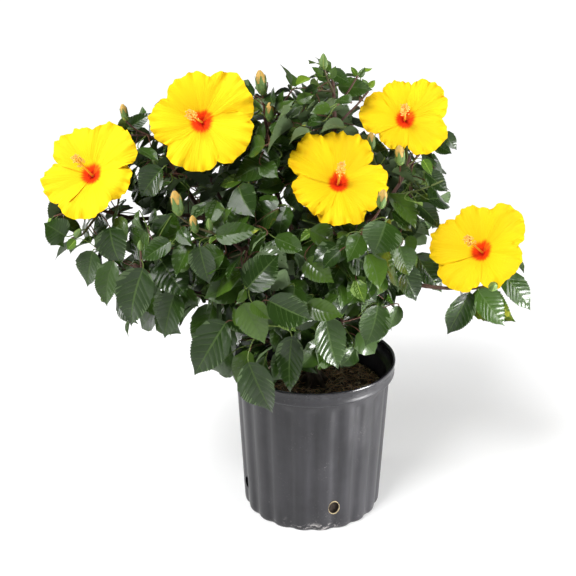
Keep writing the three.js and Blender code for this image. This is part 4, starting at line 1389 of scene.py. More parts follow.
# Bark, stems and twigs.
barkLook = dict(
    trunkColours=((0.045, 0.032, 0.022), (0.14, 0.10, 0.070)),
    boughColours=((0.045, 0.022, 0.015), (0.13, 0.068, 0.044)),
    ridge=0.055, boughRidge=0.05, flareRidge=0.08, knots=(262, 315, 372, 431, 488, 536), flares=5,
    twigColours=[(0.075, 0.030, 0.020), (0.12, 0.050, 0.028), (0.095, 0.080, 0.030), (0.10, 0.13, 0.035)],
    twigShares=[0.3, 0.34, 0.24, 0.12],
)


def barkFinish(name, colours):
    finish = Finish(name)
    place = finish.places()
    furrows = finish.noise(finish.stretched(place, (1, 1, 0.22)), 260, 4, 0.65, 0.6)
    broad = finish.noise(place, 30, 3)
    share = finish.span(furrows * 0.7 + broad * 0.5, 0.42, 0.78)
    finish.set("Base Color", finish.blend(share, *colours))
    finish.set("Roughness", finish.span(furrows, 0.3, 0.7, (0.92, 0.68)))
    return finish.bump(furrows * 0.8 + broad * 0.3, 0.7, 0.002)


def twigFinish(name, colour):
    finish = Finish(name)
    finish.set("Base Color", colour)
    grain = finish.noise(finish.stretched(finish.places(), (1, 1, 0.4)), 500, 3)
    finish.set("Roughness", finish.span(grain, 0.3, 0.7, (0.5, 0.75)))
    return finish.bump(grain, 0.5, 0.0008)


def ridges(rng, depth):
    def rough(rows, sides):
        runs = np.cumsum(rng.normal(0, 0.5, (rows, sides)), axis=0)
        runs = runs - runs.mean()
        grain = rng.normal(0, 0.25, (rows, sides))
        return 1 + depth * np.clip(runs / (abs(runs).max() + 1e-6) + grain, -1, 1)
    return rough


def makeTrunk(rng):
    batch = Batch()
    points, radii = smoothPath(*limbs["trunk"], 72)
    height = points[:, 2]
    bends = np.c_[np.sin(height / 19), np.cos(height / 23)] * 0.9
    points[:, :2] += bends * np.clip((height - 225) / 30, 0, 1)[:, None]
    for z in barkLook["knots"]:
        radii = radii + 1.1 * np.exp(-((height - z) / 6) ** 2)
    addTube(batch, points, radii, 20, 0, ridges(rng, barkLook["ridge"]))
    # a short root flare
    for k in range(barkLook["flares"]):
        a = 1.26 * k + 0.4
        out = np.array([math.cos(a), math.sin(a), 0])
        base = np.array([3, 0, 222.0])
        run = bezier(base + out * 4 + upward * 8, base + out * 11 + upward * 2, base + out * 17 - upward * 7,
                     base + out * 25 - upward * 13, 8)
        addTube(batch, run, np.linspace(6.5, 3.4, 9), 10, 0, ridges(rng, barkLook["flareRidge"]))
    finish = barkFinish("trunk bark", barkLook["trunkColours"])
    batch.piece("trunk_bark", [finish], ["trunk"], crease=0)


def makeBoughs(rng):
    batch = Batch()
    boughs = [m for m in masses if m["at"] != 1]
    for m in boughs:
        points, radii = smoothPath(*limbs[m["name"]], 40)
        wobble = np.sin(np.linspace(0, 9, 41) + m["seed"])[:, None] * 1.2
        wobble[0] = wobble[-1] = 0
        points = points + np.cross(unit(points[-1] - points[0]), upward) * wobble
        for at in rng.uniform(0.1, 0.95, 5):
            radii = radii + 0.7 * np.exp(-((np.arange(41) / 40 - at) / 0.02) ** 2)
        addTube(batch, points, radii, 12, 0, ridges(rng, barkLook["boughRidge"]))
        # a swelling where the bough leaves its parent
        way = unit(points[4] - points[0])
        run = points[0] + way * np.array([-1.5, 3, 7, 12])[:, None]
        addTube(batch, run, radii[0] * np.array([1.35, 1.25, 1.1, 0.95]), 12)
    finish = barkFinish("bough bark", barkLook["boughColours"])
    batch.piece("bough_bark", [finish], ["bough_" + m["name"] for m in boughs], crease=0)


def makeTwigs(rng):
    finishes = [twigFinish("twig bark %d" % (k + 1), c) for k, c in enumerate(barkLook["twigColours"])]
    for m in masses:
        batch = Batch()
        points, radii = smoothPath(*stems[m["name"]], 18)
        addTube(batch, points, radii, 8, 0)
        for twig in grown[m["name"]]["twigs"]:
            points, radii = twig["points"], twig["radii"]
            if "end" in twig:
                run = points[1] - points[0]
                side = unit(np.cross(run, upward) + 1e-3) * 0.05 * np.linalg.norm(run) * rng.uniform(-1, 1)
                points = np.array([points[0], mixed(points[0], points[1], 0.5) + side, points[1]])
                radii = np.array([radii[0], radii.mean(), radii[1]]) * 0.85
            fine, fineRadii = smoothPath(points, radii, 12)
            for at in rng.integers(2, 11, 2):
                fineRadii[at] += 0.3
            tint = int(rng.choice(4, p=barkLook["twigShares"]))
            addTube(batch, fine, fineRadii * 0.86, 6, tint)
        batch.piece("twigs_" + m["name"], finishes, ["leaves_" + m["name"]], crease=0)


barkDraw = np.random.default_rng(29)
makeTrunk(barkDraw)
makeBoughs(barkDraw)
makeTwigs(barkDraw)
print("bark and twigs made")


# Blooms: petals from the throat to a frilled edge, column, stamens, calyx and stalk.
petal = dict(
    rows=24, columns=40, narrow=49, corner=0.56, overlap=0.8, throat=24, thickness=0.35, frill=1.7,
    crease=1.3, yellow=(0.87, 0.585, 0.006), gold=(0.84, 0.41, 0.003), eye=(0.90, 0.050, 0.002),
    deep=(0.62, 0.012, 0.002), orange=(0.90, 0.15, 0.002), amber=(0.90, 0.40, 0.003),
)
column = dict(length=27, stamens=72, pads=5, grain=(1.35, 1.0, 0.95), pad=(1.5, 1.5, 1.25))
# For each bloom: where the column leans to the side and up, how ruffled it is, and its petals as angle, half
# spread, reach and how far each is folded back.
bloomShapes = {
    "bloom_upper_left": dict(lean=(-11, 9), ruffle=1.5, petals=[
        (39, 44, 1.15, 0), (108, 46, 0.95, 0), (182, 42, 0.98, 0), (258, 47, 0.99, 0), (335, 45, 1.06, 0),
    ]),
    "bloom_far_left": dict(lean=(-9, 8), ruffle=1.3, petals=[
        (54, 43, 1.17, 0), (126, 48, 1.02, 0), (212, 44, 1.0, 0), (278, 48, 1.06, 0), (350, 40, 1.1, 0.35),
    ]),
    "bloom_centre": dict(lean=(1, 9), ruffle=1.8, petals=[
        (76, 50, 1.1, 0), (138, 38, 1.2, 0), (208, 44, 1.02, 0), (270, 43, 1.08, 0), (341, 48, 1.03, 0),
    ]),
    "bloom_upper_right": dict(lean=(-4, 6), ruffle=1.4, petals=[
        (38, 46, 1.05, 0), (108, 36, 0.92, 0.1), (172, 42, 1.06, 0), (240, 38, 0.9, 0.3), (318, 46, 1.04, 0),
    ]),
    "bloom_far_right": dict(lean=(-8, 5), ruffle=1.3, petals=[
        (53, 44, 1.13, 0), (118, 46, 0.95, 0), (180, 42, 1.1, 0), (249, 47, 1.02, 0), (338, 48, 1.03, 0),
    ]),
    "bloom_back_left": dict(lean=(4, 8), ruffle=1.2, petals=[
        (25, 45, 1.03, 0), (97, 44, 1.0, 0), (170, 46, 0.97, 0), (243, 44, 1.05, 0), (315, 45, 1.0, 0),
    ]),
    "bloom_back_right": dict(lean=(-4, 9), ruffle=1.4, petals=[
        (60, 44, 1.0, 0), (130, 45, 1.04, 0), (205, 42, 0.94, 0.25), (275, 45, 1.02, 0), (348, 46, 1.0, 0),
    ]),
    "bloom_back_centre": dict(lean=(2, 8), ruffle=1.2, petals=[
        (6, 45, 1.02, 0), (78, 44, 0.98, 0), (150, 45, 1.04, 0), (224, 45, 0.94, 0), (296, 44, 0.96, 0),
    ]),
}


def petalFinish():
    p = petal
    finish = Finish("petal", Roughness=0.7, Specular_IOR_Level=0.12)
    own = finish.places("UV")
    across, out = finish.part(own, 0), finish.part(own, 1)
    fan = finish.noise(finish.stretched(own, (26, 1.6, 1)), 1.0, 3, 0.6)
    cloud = finish.noise(finish.places(), 60, 2)
    middle = finish.span(across - 0.5, -0.5, 0.5, (-1.0, 1.0))
    reach = out + (fan - 0.5) * 0.15 + (cloud - 0.5) * 0.05 + middle * middle * 0.04 - 0.045
    colours = finish.ramp(
        reach, (0.0, p["deep"]), (0.06, p["deep"]), (0.10, p["eye"]), (0.155, p["eye"]),
        (0.185, p["orange"]), (0.215, p["amber"]), (0.25, p["yellow"]), (1.0, p["yellow"]),
    )
    # golden streaks along the middle of each petal and in its creases, and golden patches near the rim that
    # are painted shade for the frilled margins
    streak = finish.span(fan * 1.2 - middle * middle * 0.9, 0.36, 0.8) * finish.span(out, 1.05, 0.4)
    edge = finish.span(out + (fan - 0.5) * 0.4, 0.8, 1.05) * finish.span(cloud, 0.45, 0.62)
    finish.set("Base Color", finish.blend(streak * 0.5 + edge * 0.4, colours, p["gold"]))
    return finish.bump(fan * 1.1 + cloud * 0.2, 0.7, 0.0022)


def plainFinish(name, colour, rough, scale=500):
    finish = Finish(name)
    finish.set("Base Color", colour)
    grain = finish.noise(finish.places(), scale, 3)
    finish.set("Roughness", finish.span(grain, 0.3, 0.7, (rough - 0.08, rough + 0.08)))
    return finish.bump(grain, 0.5, 0.0006)


bloomFinishes = [
    petalFinish(),
    plainFinish("column", (0.88, 0.42, 0.03), 0.55),
    plainFinish("anther", (0.90, 0.52, 0.11), 0.75, 900),
    plainFinish("stigma", (0.90, 0.42, 0.10), 0.7, 900),
    plainFinish("calyx", (0.13, 0.22, 0.05), 0.55),
    plainFinish("flower stalk", (0.11, 0.15, 0.04), 0.55),
]


def profile(x):
    return -petal["throat"] * np.clip(1 - x, 0, 1) ** 1.7


def bloomFrame(b):
    face = b["face"]
    side = unit(np.cross(upward, face))
    return face, side, np.cross(face, side)


def addPetals(batch, b, look, rng):
    p = petal
    face, side, high = bloomFrame(b)
    n, c = p["rows"], p["columns"]
    s = np.linspace(0, 1, n)[:, None] ** 0.9
    t = np.linspace(-1, 1, c)[None]
    for k, (turn, half, far, fold) in enumerate(look["petals"]):
        spread = np.radians(mixed(p["narrow"], half, s ** 0.7))
        angle = math.radians(turn) + t * spread
        shape = p["corner"] + (1 - p["corner"]) * np.clip(1 - abs(t) ** 2.7, 0, 1) ** 0.55
        phases = rng.uniform(0, 6.28, 6)
        waves = zip((5, 11, 19, 31, 43), phases, (0.013, 0.009, 0.006, 0.004, 0.002))
        nibble = sum(np.sin(w * t + f) * a for w, f, a in waves)
        rim = far * shape * (1 + nibble * look["ruffle"])
        x = 0.02 + (rim - 0.02) * s
        radius = b["radius"] * x
        height = profile(x) + 3.5 * x ** 2 * np.sin(7 * angle + b["roll"])
        height = height + p["overlap"] * t * (0.4 + 0.6 * np.clip(s * 1.5, 0, 1))
        # soft radial creases, then a frilled edge
        creases = x ** 1.5 * np.sin(9 * t + phases[0]) * np.cos(4 * t + phases[1])
        height = height + p["crease"] * look["ruffle"] * creases
        edge = np.clip((s - 0.72) / 0.28, 0, 1) ** 1.6
        frill = np.sin(21 * t + phases[2]) + 0.7 * np.sin(34 * t + phases[3])
        height = height + p["frill"] * look["ruffle"] * edge * frill
        height = height - 3.2 * edge * (0.6 + 0.4 * np.sin(3 * t + phases[4]))
        if fold:
            bend = np.clip((x - 0.5) / 0.5, 0, 1) * fold * 1.7
            radius = radius - b["radius"] * fold * 0.42 * np.clip((x - 0.5) / 0.5, 0, 1) ** 1.5
            height = height - b["radius"] * 0.5 * bend ** 1.5 * 0.55
        centre = b["centre"] + face * height[..., None]
        across, up = radius * np.cos(angle), radius * np.sin(angle)
        top = centre + side * across[..., None] + high * up[..., None]
        inner = (slice(1, -1), slice(1, -1))
        under = top[inner] - face * p["thickness"]
        places = np.stack(np.broadcast_arrays(t * 0.5 + 0.5 + k, x), -1)
        faces, back = sheetFaces(n, c)
        batch.add(np.concatenate([top.reshape(-1, 3), under.reshape(-1, 3)]), faces, 0,
                  np.concatenate([places.reshape(-1, 2), places[inner].reshape(-1, 2)]))
        batch.addFaces(back)


ballPoints = np.array([
    (0, 0, 1), (0.894, 0, 0.447), (0.276, 0.851, 0.447), (-0.724, 0.526, 0.447), (-0.724, -0.526, 0.447),
    (0.276, -0.851, 0.447), (0.724, 0.526, -0.447), (-0.276, 0.851, -0.447), (-0.894, 0, -0.447),
    (-0.276, -0.851, -0.447), (0.724, -0.526, -0.447), (0, 0, -1),
])
ballFaces = np.array([
    (0, 1, 2), (0, 2, 3), (0, 3, 4), (0, 4, 5), (0, 5, 1), (1, 6, 2), (2, 7, 3), (3, 8, 4), (4, 9, 5),
    (5, 10, 1), (2, 6, 7), (3, 7, 8), (4, 8, 9), (5, 9, 10), (1, 10, 6), (11, 7, 6), (11, 8, 7), (11, 9, 8),
    (11, 10, 9), (11, 6, 10),
])


def addBall(batch, centre, sizes, turn, tint):
    # a lumpy grain turned by an angle about the upright
    c, s = math.cos(turn), math.sin(turn)
    points = ballPoints * sizes
    points = points @ np.array([[c, s, 0], [-s, c, 0], [0, 0, 1.0]])
    batch.add(points + centre, ballFaces, tint)


def addColumn(batch, b, look, rng):
    face, side, high = bloomFrame(b)
    foot = b["centre"] - face * (bloomCup - 4)
    aside, up = look["lean"]
    tip = b["centre"] + face * column["length"] + side * aside + high * up
    middle = b["centre"] - face * 2 + side * aside * 0.18 + high * up * 0.18
    t = np.linspace(0, 1, 15)[:, None]
    run = foot * (1 - t) ** 2 + 2 * middle * t * (1 - t) + tip * t * t
    addTube(batch, run, np.linspace(1.9, 1.15, 15), 8, 1)
    ways, ones, twos = frames(run)
    for k in range(column["stamens"]):
        s = 1 - 0.36 * rng.random() ** 1.3
        i = s * 14
        at = mixed(run[int(i)], run[min(int(i) + 1, 14)], i - int(i))
        way, one, two = ways[int(i)], ones[int(i)], twos[int(i)]
        a = rng.uniform(*anyTurn)
        out = unit(one * math.cos(a) + two * math.sin(a) + way * rng.uniform(0.0, 0.6))
        long = rng.uniform(2.4, 6.2)
        end = at + out * (1.2 + long)
        addTube(batch, np.array([at, mixed(at, end, 0.5) + way * 0.3, end]), [0.22, 0.2, 0.18], 3, 1)
        addBall(batch, end, np.array(column["grain"]) * rng.uniform(0.85, 1.2), rng.uniform(0, 3), 2)
    for k in range(column["pads"]):
        a = 1.2566 * k + 0.5
        out = unit(ones[-1] * math.cos(a) + twos[-1] * math.sin(a) + ways[-1] * 0.9)
        end = tip + out * 4.2
        addTube(batch, np.array([tip - ways[-1], tip + out * 2, end]), [0.55, 0.42, 0.4], 5, 1)
        addBall(batch, end, np.array(column["pad"]), a, 3)


def addLobes(batch, centre, axis, one, two, count, low, high, widths, tint, spin, thick=0.5):
    # pointed green lobes round an axis, bent outwards from low to high, each a radius and a height
    steps = np.linspace(0, 1, 7)
    faces, back = sheetFaces(7, 5)
    for k in range(count):
        a = spin + 2 * math.pi * k / count
        out = one * math.cos(a) + two * math.sin(a)
        across = np.cross(axis, out)
        points = []
        for s in steps:
            radius = mixed(low[0], high[0], s ** 1.3)
            up = mixed(low[1], high[1], s)
            wide = mixed(widths[0], widths[1], s) * (1 - s ** 2.2)
            cup = -0.18 * wide
            for u in (-1, -0.5, 0, 0.5, 1):
                points.append(centre + out * (radius + cup * u * u) + axis * up + across * wide * u)
        top = np.array(points).reshape(7, 5, 3)
        under = top[1:-1, 1:-1] - (out - axis * 0.3) * thick
        batch.add(np.concatenate([top.reshape(-1, 3), under.reshape(-1, 3)]), faces, tint)
        batch.addFaces(back, tint)


def addCalyx(batch, b):
    face, side, high = bloomFrame(b)
    points, radii = smoothPath(*b["stalk"], 24)
    addTube(batch, points, radii * 0.9, 8, 5)
    foot = b["centre"] - face * bloomFoot
    cup = np.array([foot - face * 1.5, foot + face * 1, foot + face * 4, foot + face * 8, foot + face * 11])
    addTube(batch, cup, [2.0, 3.6, 6.2, 6.9, 6.4], 15, 4)
    addLobes(batch, foot, face, side, high, 5, (6.2, 9), (15.5, 22), (4.6, 2.6), 4, 0.3)
    addLobes(batch, foot, face, side, high, 7, (3.2, 1.5), (11.5, 9), (0.9, 0.7), 4, 0.1, 0.35)


def makeBlooms():
    rng = np.random.default_rng(41)
    for b in blooms:
        look = bloomShapes[b["name"]]
        where = b["name"].removeprefix("bloom_")
        batch = Batch()
        addPetals(batch, b, look, rng)
        batch.piece("petals_" + where, bloomFinishes[:1], [b["name"]], crease=80)
        batch = Batch()
        addColumn(batch, b, look, rng)
        addCalyx(batch, b)
        batch.piece("heart_" + where, bloomFinishes, [b["name"]], crease=80)
    print("blooms made")


makeBlooms()


# Buds: a green calyx with pointed lobes, and a rolled cone of petals where the bud is far enough on.
budLook = dict(
    green=(0.10, 0.18, 0.035), rib=(0.20, 0.27, 0.06), roll=(0.50, 0.30, 0.06), rollEdge=(0.34, 0.26, 0.07),
    rings=15, sides=20, size=1.35, openOver=18,
    # radii along a closed bud and along an opened one, as shares of the length
    closed=([0, 0.06, 0.18, 0.34, 0.5, 0.66, 0.82, 0.93, 1],
            [0.07, 0.15, 0.235, 0.262, 0.25, 0.215, 0.15, 0.09, 0.02]),
    opened=([0, 0.06, 0.2, 0.36, 0.5, 0.62, 0.78, 0.92, 1],
            [0.07, 0.14, 0.21, 0.22, 0.20, 0.215, 0.185, 0.12, 0.05]),
)
budWays = {  # buds that don't stand up, by mass and length
    ("low_centre", 18): (0.85, -0.5, 0.15), ("right_mid", 24): (0.1, -0.35, 1),
    ("upper_centre", 27): (-0.12, 0, 1), ("upper_right", 25): (-0.1, -0.3, 1),
    ("far_left", 16): (0.5, -0.4, 0.7), ("far_right", 14): (0.05, -0.75, 0.6),
}
budSizes = {("upper_left", 24): 1.05, ("far_right", 14): 1.9}


def addBud(batch, name, twig, rng):
    rings, sides = budLook["rings"], budLook["sides"]
    key = (name, twig["bud"])
    end = twig["points"][-1]
    along = unit(end - twig["points"][-2])
    long = twig["bud"] * budSizes.get(key, budLook["size"])
    foot = end - along * 0.3 * long
    way = unit(np.array(budWays.get(key, along * 0.3 + upward)))
    foot[2] = min(foot[2], highEnd[2] + 2 - long * max(way[2], 0))
    side = unit(np.cross(way, [0.2, 0.9, 0.35]))
    other = np.cross(way, side)
    opened = twig["bud"] > budLook["openOver"]
    s = np.linspace(0, 1, rings)
    broad = np.interp(s, *budLook["opened" if opened else "closed"]) * long
    turns = turnsOf(sides)
    spiral = turns[None] + 2.6 * s[:, None] * opened
    ridge = 1 + (0.07 if opened else 0.035) * np.sin(5 * spiral) * np.clip(s[:, None] * 2, 0, 1)
    radius = broad[:, None] * ridge
    points = (
        foot + way * (s * long)[:, None, None] + side * (radius * np.cos(turns))[..., None]
        + other * (radius * np.sin(turns))[..., None]
    )
    high = (np.arange(rings - 1)[:, None] >= 7) & np.ones((1, sides), bool)
    edge = np.sin(5 * spiral[:-1]) > 0.75
    tints = np.where(high & opened, np.where(edge, 3, 2), np.where(edge, 1, 0)).ravel()
    allPoints = np.concatenate([points.reshape(-1, 3), [foot, foot + way * long]])
    batch.add(allPoints, gridFaces(rings, sides, closed=True), tints)
    batch.addFaces(endFans(rings, sides), np.repeat([0, 2 if opened else 0], sides))
    axes = (foot, way, side, other)
    if opened:
        addLobes(batch, *axes, 5, (0.215 * long, 0.28 * long), (0.24 * long, 0.86 * long),
                 (0.14 * long, 0.075 * long), 0, rng.uniform(0, 1), 0.4)
    addLobes(batch, *axes, 7, (0.1 * long, 0.02 * long), (0.3 * long, 0.3 * long),
             (0.045 * long, 0.03 * long), 1, rng.uniform(0, 1), 0.3)


def makeBuds():
    rng = np.random.default_rng(53)
    finishes = [
        plainFinish("bud green", budLook["green"], 0.5), plainFinish("bud rib", budLook["rib"], 0.55),
        plainFinish("rolled petal", budLook["roll"], 0.6),
        plainFinish("rolled edge", budLook["rollEdge"], 0.6),
    ]
    batch = Batch()
    for m in masses:
        for twig in grown[m["name"]]["twigs"]:
            if twig["bud"]:
                addBud(batch, m["name"], twig, rng)
    batch.piece("buds", finishes, crease=80)
    print("buds made")


makeBuds()


# The pot.
potLook = dict(
    colour=(0.009, 0.0087, 0.011), worn=(0.030, 0.029, 0.034), scuff=(0.36, 0.34, 0.33),
    collar=(0.42, 0.34, 0.20), columns=320, grooveWidth=0.2, footRaise=2.0, hole=(9.0, 11.0),
)


def bodyRadius(z):
    share = np.minimum(z / (pot["height"] - pot["rimBand"]), 1)
    return mixed(pot["baseRadius"], pot["neckRadius"], share)


def innerRadius(z):
    return bodyRadius(z) - pot["fluteDepth"] - pot["wall"]


def potFinish():
    p = potLook
    finish = Finish("worn dark plastic", IOR=1.48)
    place = finish.places()
    cloud = finish.noise(place, 14, 4, 0.6)
    specks = finish.noise(place, 520, 2, 0.5)
    patch = finish.noise(place, 26, 3, 0.7)
    streak = finish.noise(finish.stretched(place, (1, 1, 0.08)), 120, 3)
    height = finish.part(place, 2)
    body = finish.blend(finish.span(cloud + streak * 0.4, 0.5, 0.95), p["colour"], p["worn"])
    dust = finish.span(specks * 0.8 + patch * 0.55, 0.84, 0.98)
    low = finish.span(height, 0.026, 0.004)
    scrape = finish.noise(finish.stretched(place, (1, 1, 1.6)), 85, 4, 0.7)
    spot = finish.node("ShaderNodeVectorMath", {"operation": "DISTANCE"},
                       {0: finish.stretched(place, (0.45, 1, 2)), 1: (0.004, -0.110, 0.010)}, output=1)
    scuffs = finish.span(scrape, 0.6, 0.68) * low * 0.5
    scuffs = scuffs + finish.span(scrape, 0.52, 0.58) * finish.span(spot, 0.022, 0.012)
    lip = finish.span(height, 0.246, 0.254)
    finish.set("Base Color", finish.blend(dust * 0.35 + scuffs * 0.8, body, p["scuff"]))
    finish.set("Roughness", finish.span(cloud * 0.6 + streak * 0.4, 0.35, 0.7, (0.3, 0.44)) - lip * 0.13)
    return finish.bump(specks * 0.25 + patch * 0.5 + streak * 0.35, 0.35, 0.0012)


def holeWays(k):
    # outwards and sideways at a drain hole
    a = math.radians(pot["holeTurn"] + 360 / pot["holes"] * k)
    return np.array([math.sin(a), -math.cos(a), 0]), np.array([math.cos(a), math.sin(a), 0])


def potProfile():
    # radius, height and how deep the flutes are, from the middle underneath, out, up and back down inside
    band = pot["height"] - pot["rimBand"]
    neck = pot["neckRadius"]
    lift = potLook["footRaise"]
    outer = [
        (0, lift, 0), (40, lift, 0), (78, lift, 0), (90, lift, 0), (93.5, 0.5, 0), (95.5, 0, 0),
        (101, 0, 0.5), (106, 0, 0.8), (108.3, 0.4, 0.9), (109.9, 1.5, 1), (110.9, 3, 1), (111.6, 5, 1),
        (112.2, 8, 1),
    ]
    outer += [(float(bodyRadius(z)), z, 1) for z in np.linspace(14, band - 20, 16)]
    fades = ((17, 0.96), (14, 0.8), (11, 0.5), (8, 0.2), (5, 0.0))
    outer += [(float(bodyRadius(band - s)), band - s, depth) for s, depth in fades]
    lip = [
        (0, -3.5), (0.2, -2.4), (1.6, -1.4), (5.2, -0.6), (6.6, 0.4), (7.2, 2), (7.3, 4), (6.9, 6), (6.9, 8),
        (7.5, 14), (8.1, 18.5), (8.8, 20.2), (9.0, 21.8), (8.5, 23.2), (7.3, 24), (5.9, 23.8), (4.9, 22.8),
        (4.5, 21), (4.3, 16), (3.9, 6), (0.5, 1), (-5.0, -1.5),
    ]
    outer += [(neck + r, band + z, 0) for r, z in lip]
    outer += [(float(innerRadius(z)), z, 0.25) for z in (226, 205, 160, 100, 50, 8)]
    return np.array(outer + [(100, 3.4 + lift, 0), (60, 2.6 + lift, 0), (0, 2.4 + lift, 0)])


def makeShell():
    p = potLook
    c = p["columns"]
    band = pot["height"] - pot["rimBand"]
    rows = potProfile()
    turns = turnsOf(c)
    pitch = 2 * math.pi / pot["flutes"]
    share = ((turns - math.radians(pot["fluteTurn"])) / pitch + 0.5) % 1 - 0.5
    groove = 1 / (1 + (abs(share) / p["grooveWidth"]) ** 3.4)
    crown = 0.35 * np.cos(2 * math.pi * share)
    radius = rows[:, :1] - rows[:, 2:] * (pot["fluteDepth"] * groove[None] + crown[None] + 0.35)
    z = np.repeat(rows[:, 1:2], c, 1)
    # the rolled edge isn't quite even
    upper = np.clip((z - band - 6) / 14, 0, 1)
    uneven = 0.55 * np.sin(3 * turns + 0.6) + 0.35 * np.sin(7 * turns + 2.0) + 0.2 * np.sin(17 * turns)
    z = z - upper * (0.55 + 0.5 * uneven)[None]
    dents = 0.35 + 0.3 * np.sin(5 * turns + 1.1) + 0.2 * np.sin(13 * turns)
    radius = radius - (rows[:, :1] > 120) * upper * dents[None]
    points = np.stack([radius * np.sin(turns), -radius * np.cos(turns), z], -1)
    n = len(rows)
    batch = Batch()
    ends = [[0, 0, rows[0, 1]], [0, 0, rows[-1, 1]]]
    allPoints = np.concatenate([points[1:-1].reshape(-1, 3), ends])
    batch.add(allPoints, gridFaces(n - 2, c, closed=True)[:, ::-1])
    batch.addFaces(endFans(n - 2, c))
    return batch.piece("pot_shell", [potFinish()], ["pot"], crease=0)


def cutHoles(made):
    # drain holes, cut through the wall
    cutter = Batch()
    wide, tall = potLook["hole"]
    sides, inside, depth = 36, 96, 28
    rounds = turnsOf(sides)
    for k in range(pot["holes"]):
        out, across = holeWays(k)
        start = out * inside + upward * pot["holeHeight"]
        rim = across * (wide * np.cos(rounds))[:, None] + upward * (tall * np.sin(rounds))[:, None]
        points = np.concatenate([start + rim, start + out * depth + rim, [start, start + out * depth]])
        cutter.add(points, gridFaces(2, sides, closed=True))
        cutter.addFaces(endFans(2, sides))
    tool = cutter.piece("cutter", [], crease=0)
    cut = made.modifiers.new("holes", "BOOLEAN")
    cut.object = tool
    cut.solver = "EXACT"
    bpy.context.view_layer.update()
    shape = bpy.data.meshes.new_from_object(made.evaluated_get(bpy.context.evaluated_depsgraph_get()))
    made.modifiers.clear()
    made.data = shape
    bpy.data.objects.remove(tool)
    shape.polygons.foreach_set("use_smooth", np.ones(len(shape.polygons), bool))
    shape.set_sharp_from_angle(angle=math.radians(34))


def makeCollars():
    # pale collars that stand round every other hole
    collars = Batch()
    rng = np.random.default_rng(3)
    wide, tall = potLook["hole"]
    sides = 40
    face = float(bodyRadius(pot["holeHeight"])) - pot["fluteDepth"] * 0.6
    for k in range(0, pot["holes"], 2):
        out, across = holeWays(k)
        ring = []
        for turn in turnsOf(sides):
            stray = rng.uniform(-0.35, 0.35)
            section = (
                (-0.4, -1.2), (-0.3, 0.2), (0.1 + stray * 0.5, 0.8), (0.5 + stray, 0.6), (0.9 + stray, -1.0),
            )
            for r, far in section:
                x, up = (wide + r) * math.cos(turn), (tall + r) * math.sin(turn)
                lifted = upward * (pot["holeHeight"] + up)
                ring.append(out * (face + far - x * x / 250) + across * x + lifted)
        index = np.arange(len(ring)).reshape(sides, -1)
        after = np.roll(index, -1, 0)
        quads = np.stack([index, after, np.roll(after, -1, 1), np.roll(index, -1, 1)], -1).reshape(-1, 4)
        collars.add(np.array(ring), quads)
    finish = plainFinish("dried collar", potLook["collar"], 0.75, 700)
    collars.piece("pot_collars", [finish], crease=60)


cutHoles(makeShell())
makeCollars()
print("pot made")


# The potting mix, with chips of bark and loose roots.
# dark is the colour of the darker lumps of mix, and also painted shade on the mix's sides below its top
mixLook = dict(
    dark=(0.030, 0.020, 0.014), brown=(0.50, 0.34, 0.24), chipCount=800, rootCount=700, chipReach=113,
    rootReach=108, rootStep=2.7,
    chips=[(0.10, 0.056, 0.038), (0.18, 0.10, 0.064), (0.30, 0.18, 0.12), (0.42, 0.28, 0.18)],
    chipShares=[0.35, 0.33, 0.22, 0.1],
    roots=[(0.84, 0.60, 0.42), (0.60, 0.40, 0.26), (0.92, 0.76, 0.58)], rootShares=[0.45, 0.35, 0.2],
)


def soilHeight(x, y):
    r = np.hypot(x, y)
    base = np.interp(r, [0, 26, 58, 92, 116], [211.7, 211.7, 211, 210, 206.5])
    rough = (
        0.9 * np.sin(x / 7.3 + 1.3 * np.sin(y / 9.1)) * np.cos(y / 6.1)
        + 0.6 * np.sin(x / 3.1 + y / 4.3) * np.cos(y / 2.9 - x / 5.2)
    )
    return base + rough * np.clip((r - 16) / 14, 0, 1) - 0.8


def mixFinish():
    p = mixLook
    finish = Finish("potting mix")
    place = finish.places()
    lumps = finish.noise(place, 130, 5, 0.7)
    fine = finish.noise(place, 620, 3, 0.6)
    height = finish.part(place, 2)
    # lighter lumps on the top, and painted shade: from 0.2 m down to 0.17 m the mix fades wholly to the dark
    # colour, so its sides behind the drain holes look shaded
    lumpsAndDepthShade = finish.span(lumps * 0.6 + fine * 0.5, 0.42, 0.75) * finish.span(height, 0.17, 0.2)
    finish.set("Base Color", finish.blend(lumpsAndDepthShade, p["dark"], p["brown"]))
    finish.set("Roughness", finish.span(fine, 0.3, 0.7, (0.85, 1.0)))
    return finish.bump(lumps + fine * 0.6, 1.0, 0.004)


def makeBed(rng):
    batch = Batch()
    rings = np.r_[0.5, np.linspace(4, 114.4, 42)]
    sides = 120
    turns = turnsOf(sides)
    x, y = rings[:, None] * np.sin(turns), -rings[:, None] * np.cos(turns)
    top = np.stack([x, y, soilHeight(x, y) + rng.normal(0, 0.35, x.shape)], -1)
    edge = []
    for z in (200, 150, 100, 58, 43, 28, 9):
        r = float(innerRadius(z)) - 1.0 + rng.normal(0, 0.25, sides)
        edge.append(np.stack([r * np.sin(turns), -r * np.cos(turns), np.full(sides, float(z))], -1))
    foot = np.stack([90 * np.sin(turns), -90 * np.cos(turns), np.full(sides, 6.0)], -1)
    rows = np.concatenate([top, np.array(edge), foot[None]])
    allPoints = np.concatenate([rows.reshape(-1, 3), [[0, 0, 211.0], [0, 0, 6.0]]])
    batch.add(allPoints, gridFaces(len(rows), sides, closed=True))
    batch.addFaces(endFans(len(rows), sides))
    batch.piece("mix_bed", [mixFinish()], ["soil"], crease=0)


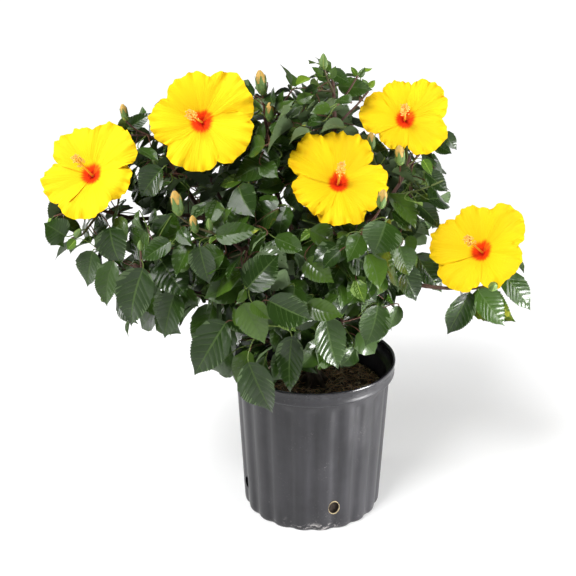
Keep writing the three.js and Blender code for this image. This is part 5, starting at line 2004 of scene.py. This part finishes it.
def makeChips(rng):
    p = mixLook
    chips = Batch()
    outline = ((-1, -1), (0, -1.15), (1, -0.8), (1.1, 0.6), (0.2, 1.1), (-0.9, 0.9))
    box = np.array([(x, y, z) for z in (-1, 1) for x, y in outline])
    sideFaces = [(k, (k + 1) % 6, 6 + (k + 1) % 6, 6 + k) for k in range(6)]
    ends = [(5, 4, 3, 2), (5, 2, 1, 0), (6, 7, 8, 9), (6, 9, 10, 11)]
    boxFaces = np.array(sideFaces + ends)
    for _ in range(p["chipCount"]):
        r = p["chipReach"] * math.sqrt(rng.uniform(0.03, 1))
        a = rng.uniform(*anyTurn)
        x, y = r * math.cos(a), r * math.sin(a)
        size = np.array([rng.uniform(1.6, 5.5), rng.uniform(0.9, 2.6), rng.uniform(0.35, 1.0)])
        if r > 108:
            size = size * 0.5
        points = box * size * (1 + rng.uniform(-0.2, 0.2, box.shape))
        a, b, c = rng.uniform(*anyTurn), rng.normal(0, 0.35), rng.normal(0, 0.35)
        turnZ = np.array([[math.cos(a), -math.sin(a), 0], [math.sin(a), math.cos(a), 0], [0, 0, 1]])
        turnX = np.array([[1, 0, 0], [0, math.cos(b), -math.sin(b)], [0, math.sin(b), math.cos(b)]])
        turnY = np.array([[math.cos(c), 0, math.sin(c)], [0, 1, 0], [-math.sin(c), 0, math.cos(c)]])
        points = points @ (turnZ @ turnX @ turnY).T + [x, y, float(soilHeight(x, y)) + 0.5]
        chips.add(points, boxFaces, int(rng.choice(4, p=p["chipShares"])))
    finishes = [plainFinish("bark chip %d" % (k + 1), c, 0.85, 400) for k, c in enumerate(p["chips"])]
    chips.piece("mix_chips", finishes, crease=30)


def makeRoots(rng):
    p = mixLook
    roots = Batch()
    for _ in range(p["rootCount"]):
        r = p["rootReach"] * math.sqrt(rng.uniform(0.02, 1))
        a = rng.uniform(*anyTurn)
        at = np.array([r * math.cos(a), r * math.sin(a)])
        way = rng.uniform(*anyTurn)
        bend = rng.normal(0, 0.36)
        run = []
        for k in range(rng.integers(7, 15)):
            run.append([*at, float(soilHeight(*at)) + 1.9 + 1.5 * math.sin(0.7 * k + a)])
            way += bend + rng.normal(0, 0.22)
            at = at + np.array([math.cos(way), math.sin(way)]) * p["rootStep"]
            if math.hypot(*at) > 112.5:
                break
        if len(run) < 4:
            continue
        thick = rng.uniform(0.45, 1.1)
        tint = int(rng.choice(3, p=p["rootShares"]))
        addTube(roots, np.array(run), np.linspace(thick, thick * 0.5, len(run)), 4, tint)
    finishes = [plainFinish("root %d" % (k + 1), c, 0.8, 700) for k, c in enumerate(p["roots"])]
    roots.piece("mix_roots", finishes, crease=0)


mixDraw = np.random.default_rng(71)
makeBed(mixDraw)
makeChips(mixDraw)
makeRoots(mixDraw)
print("potting mix made")
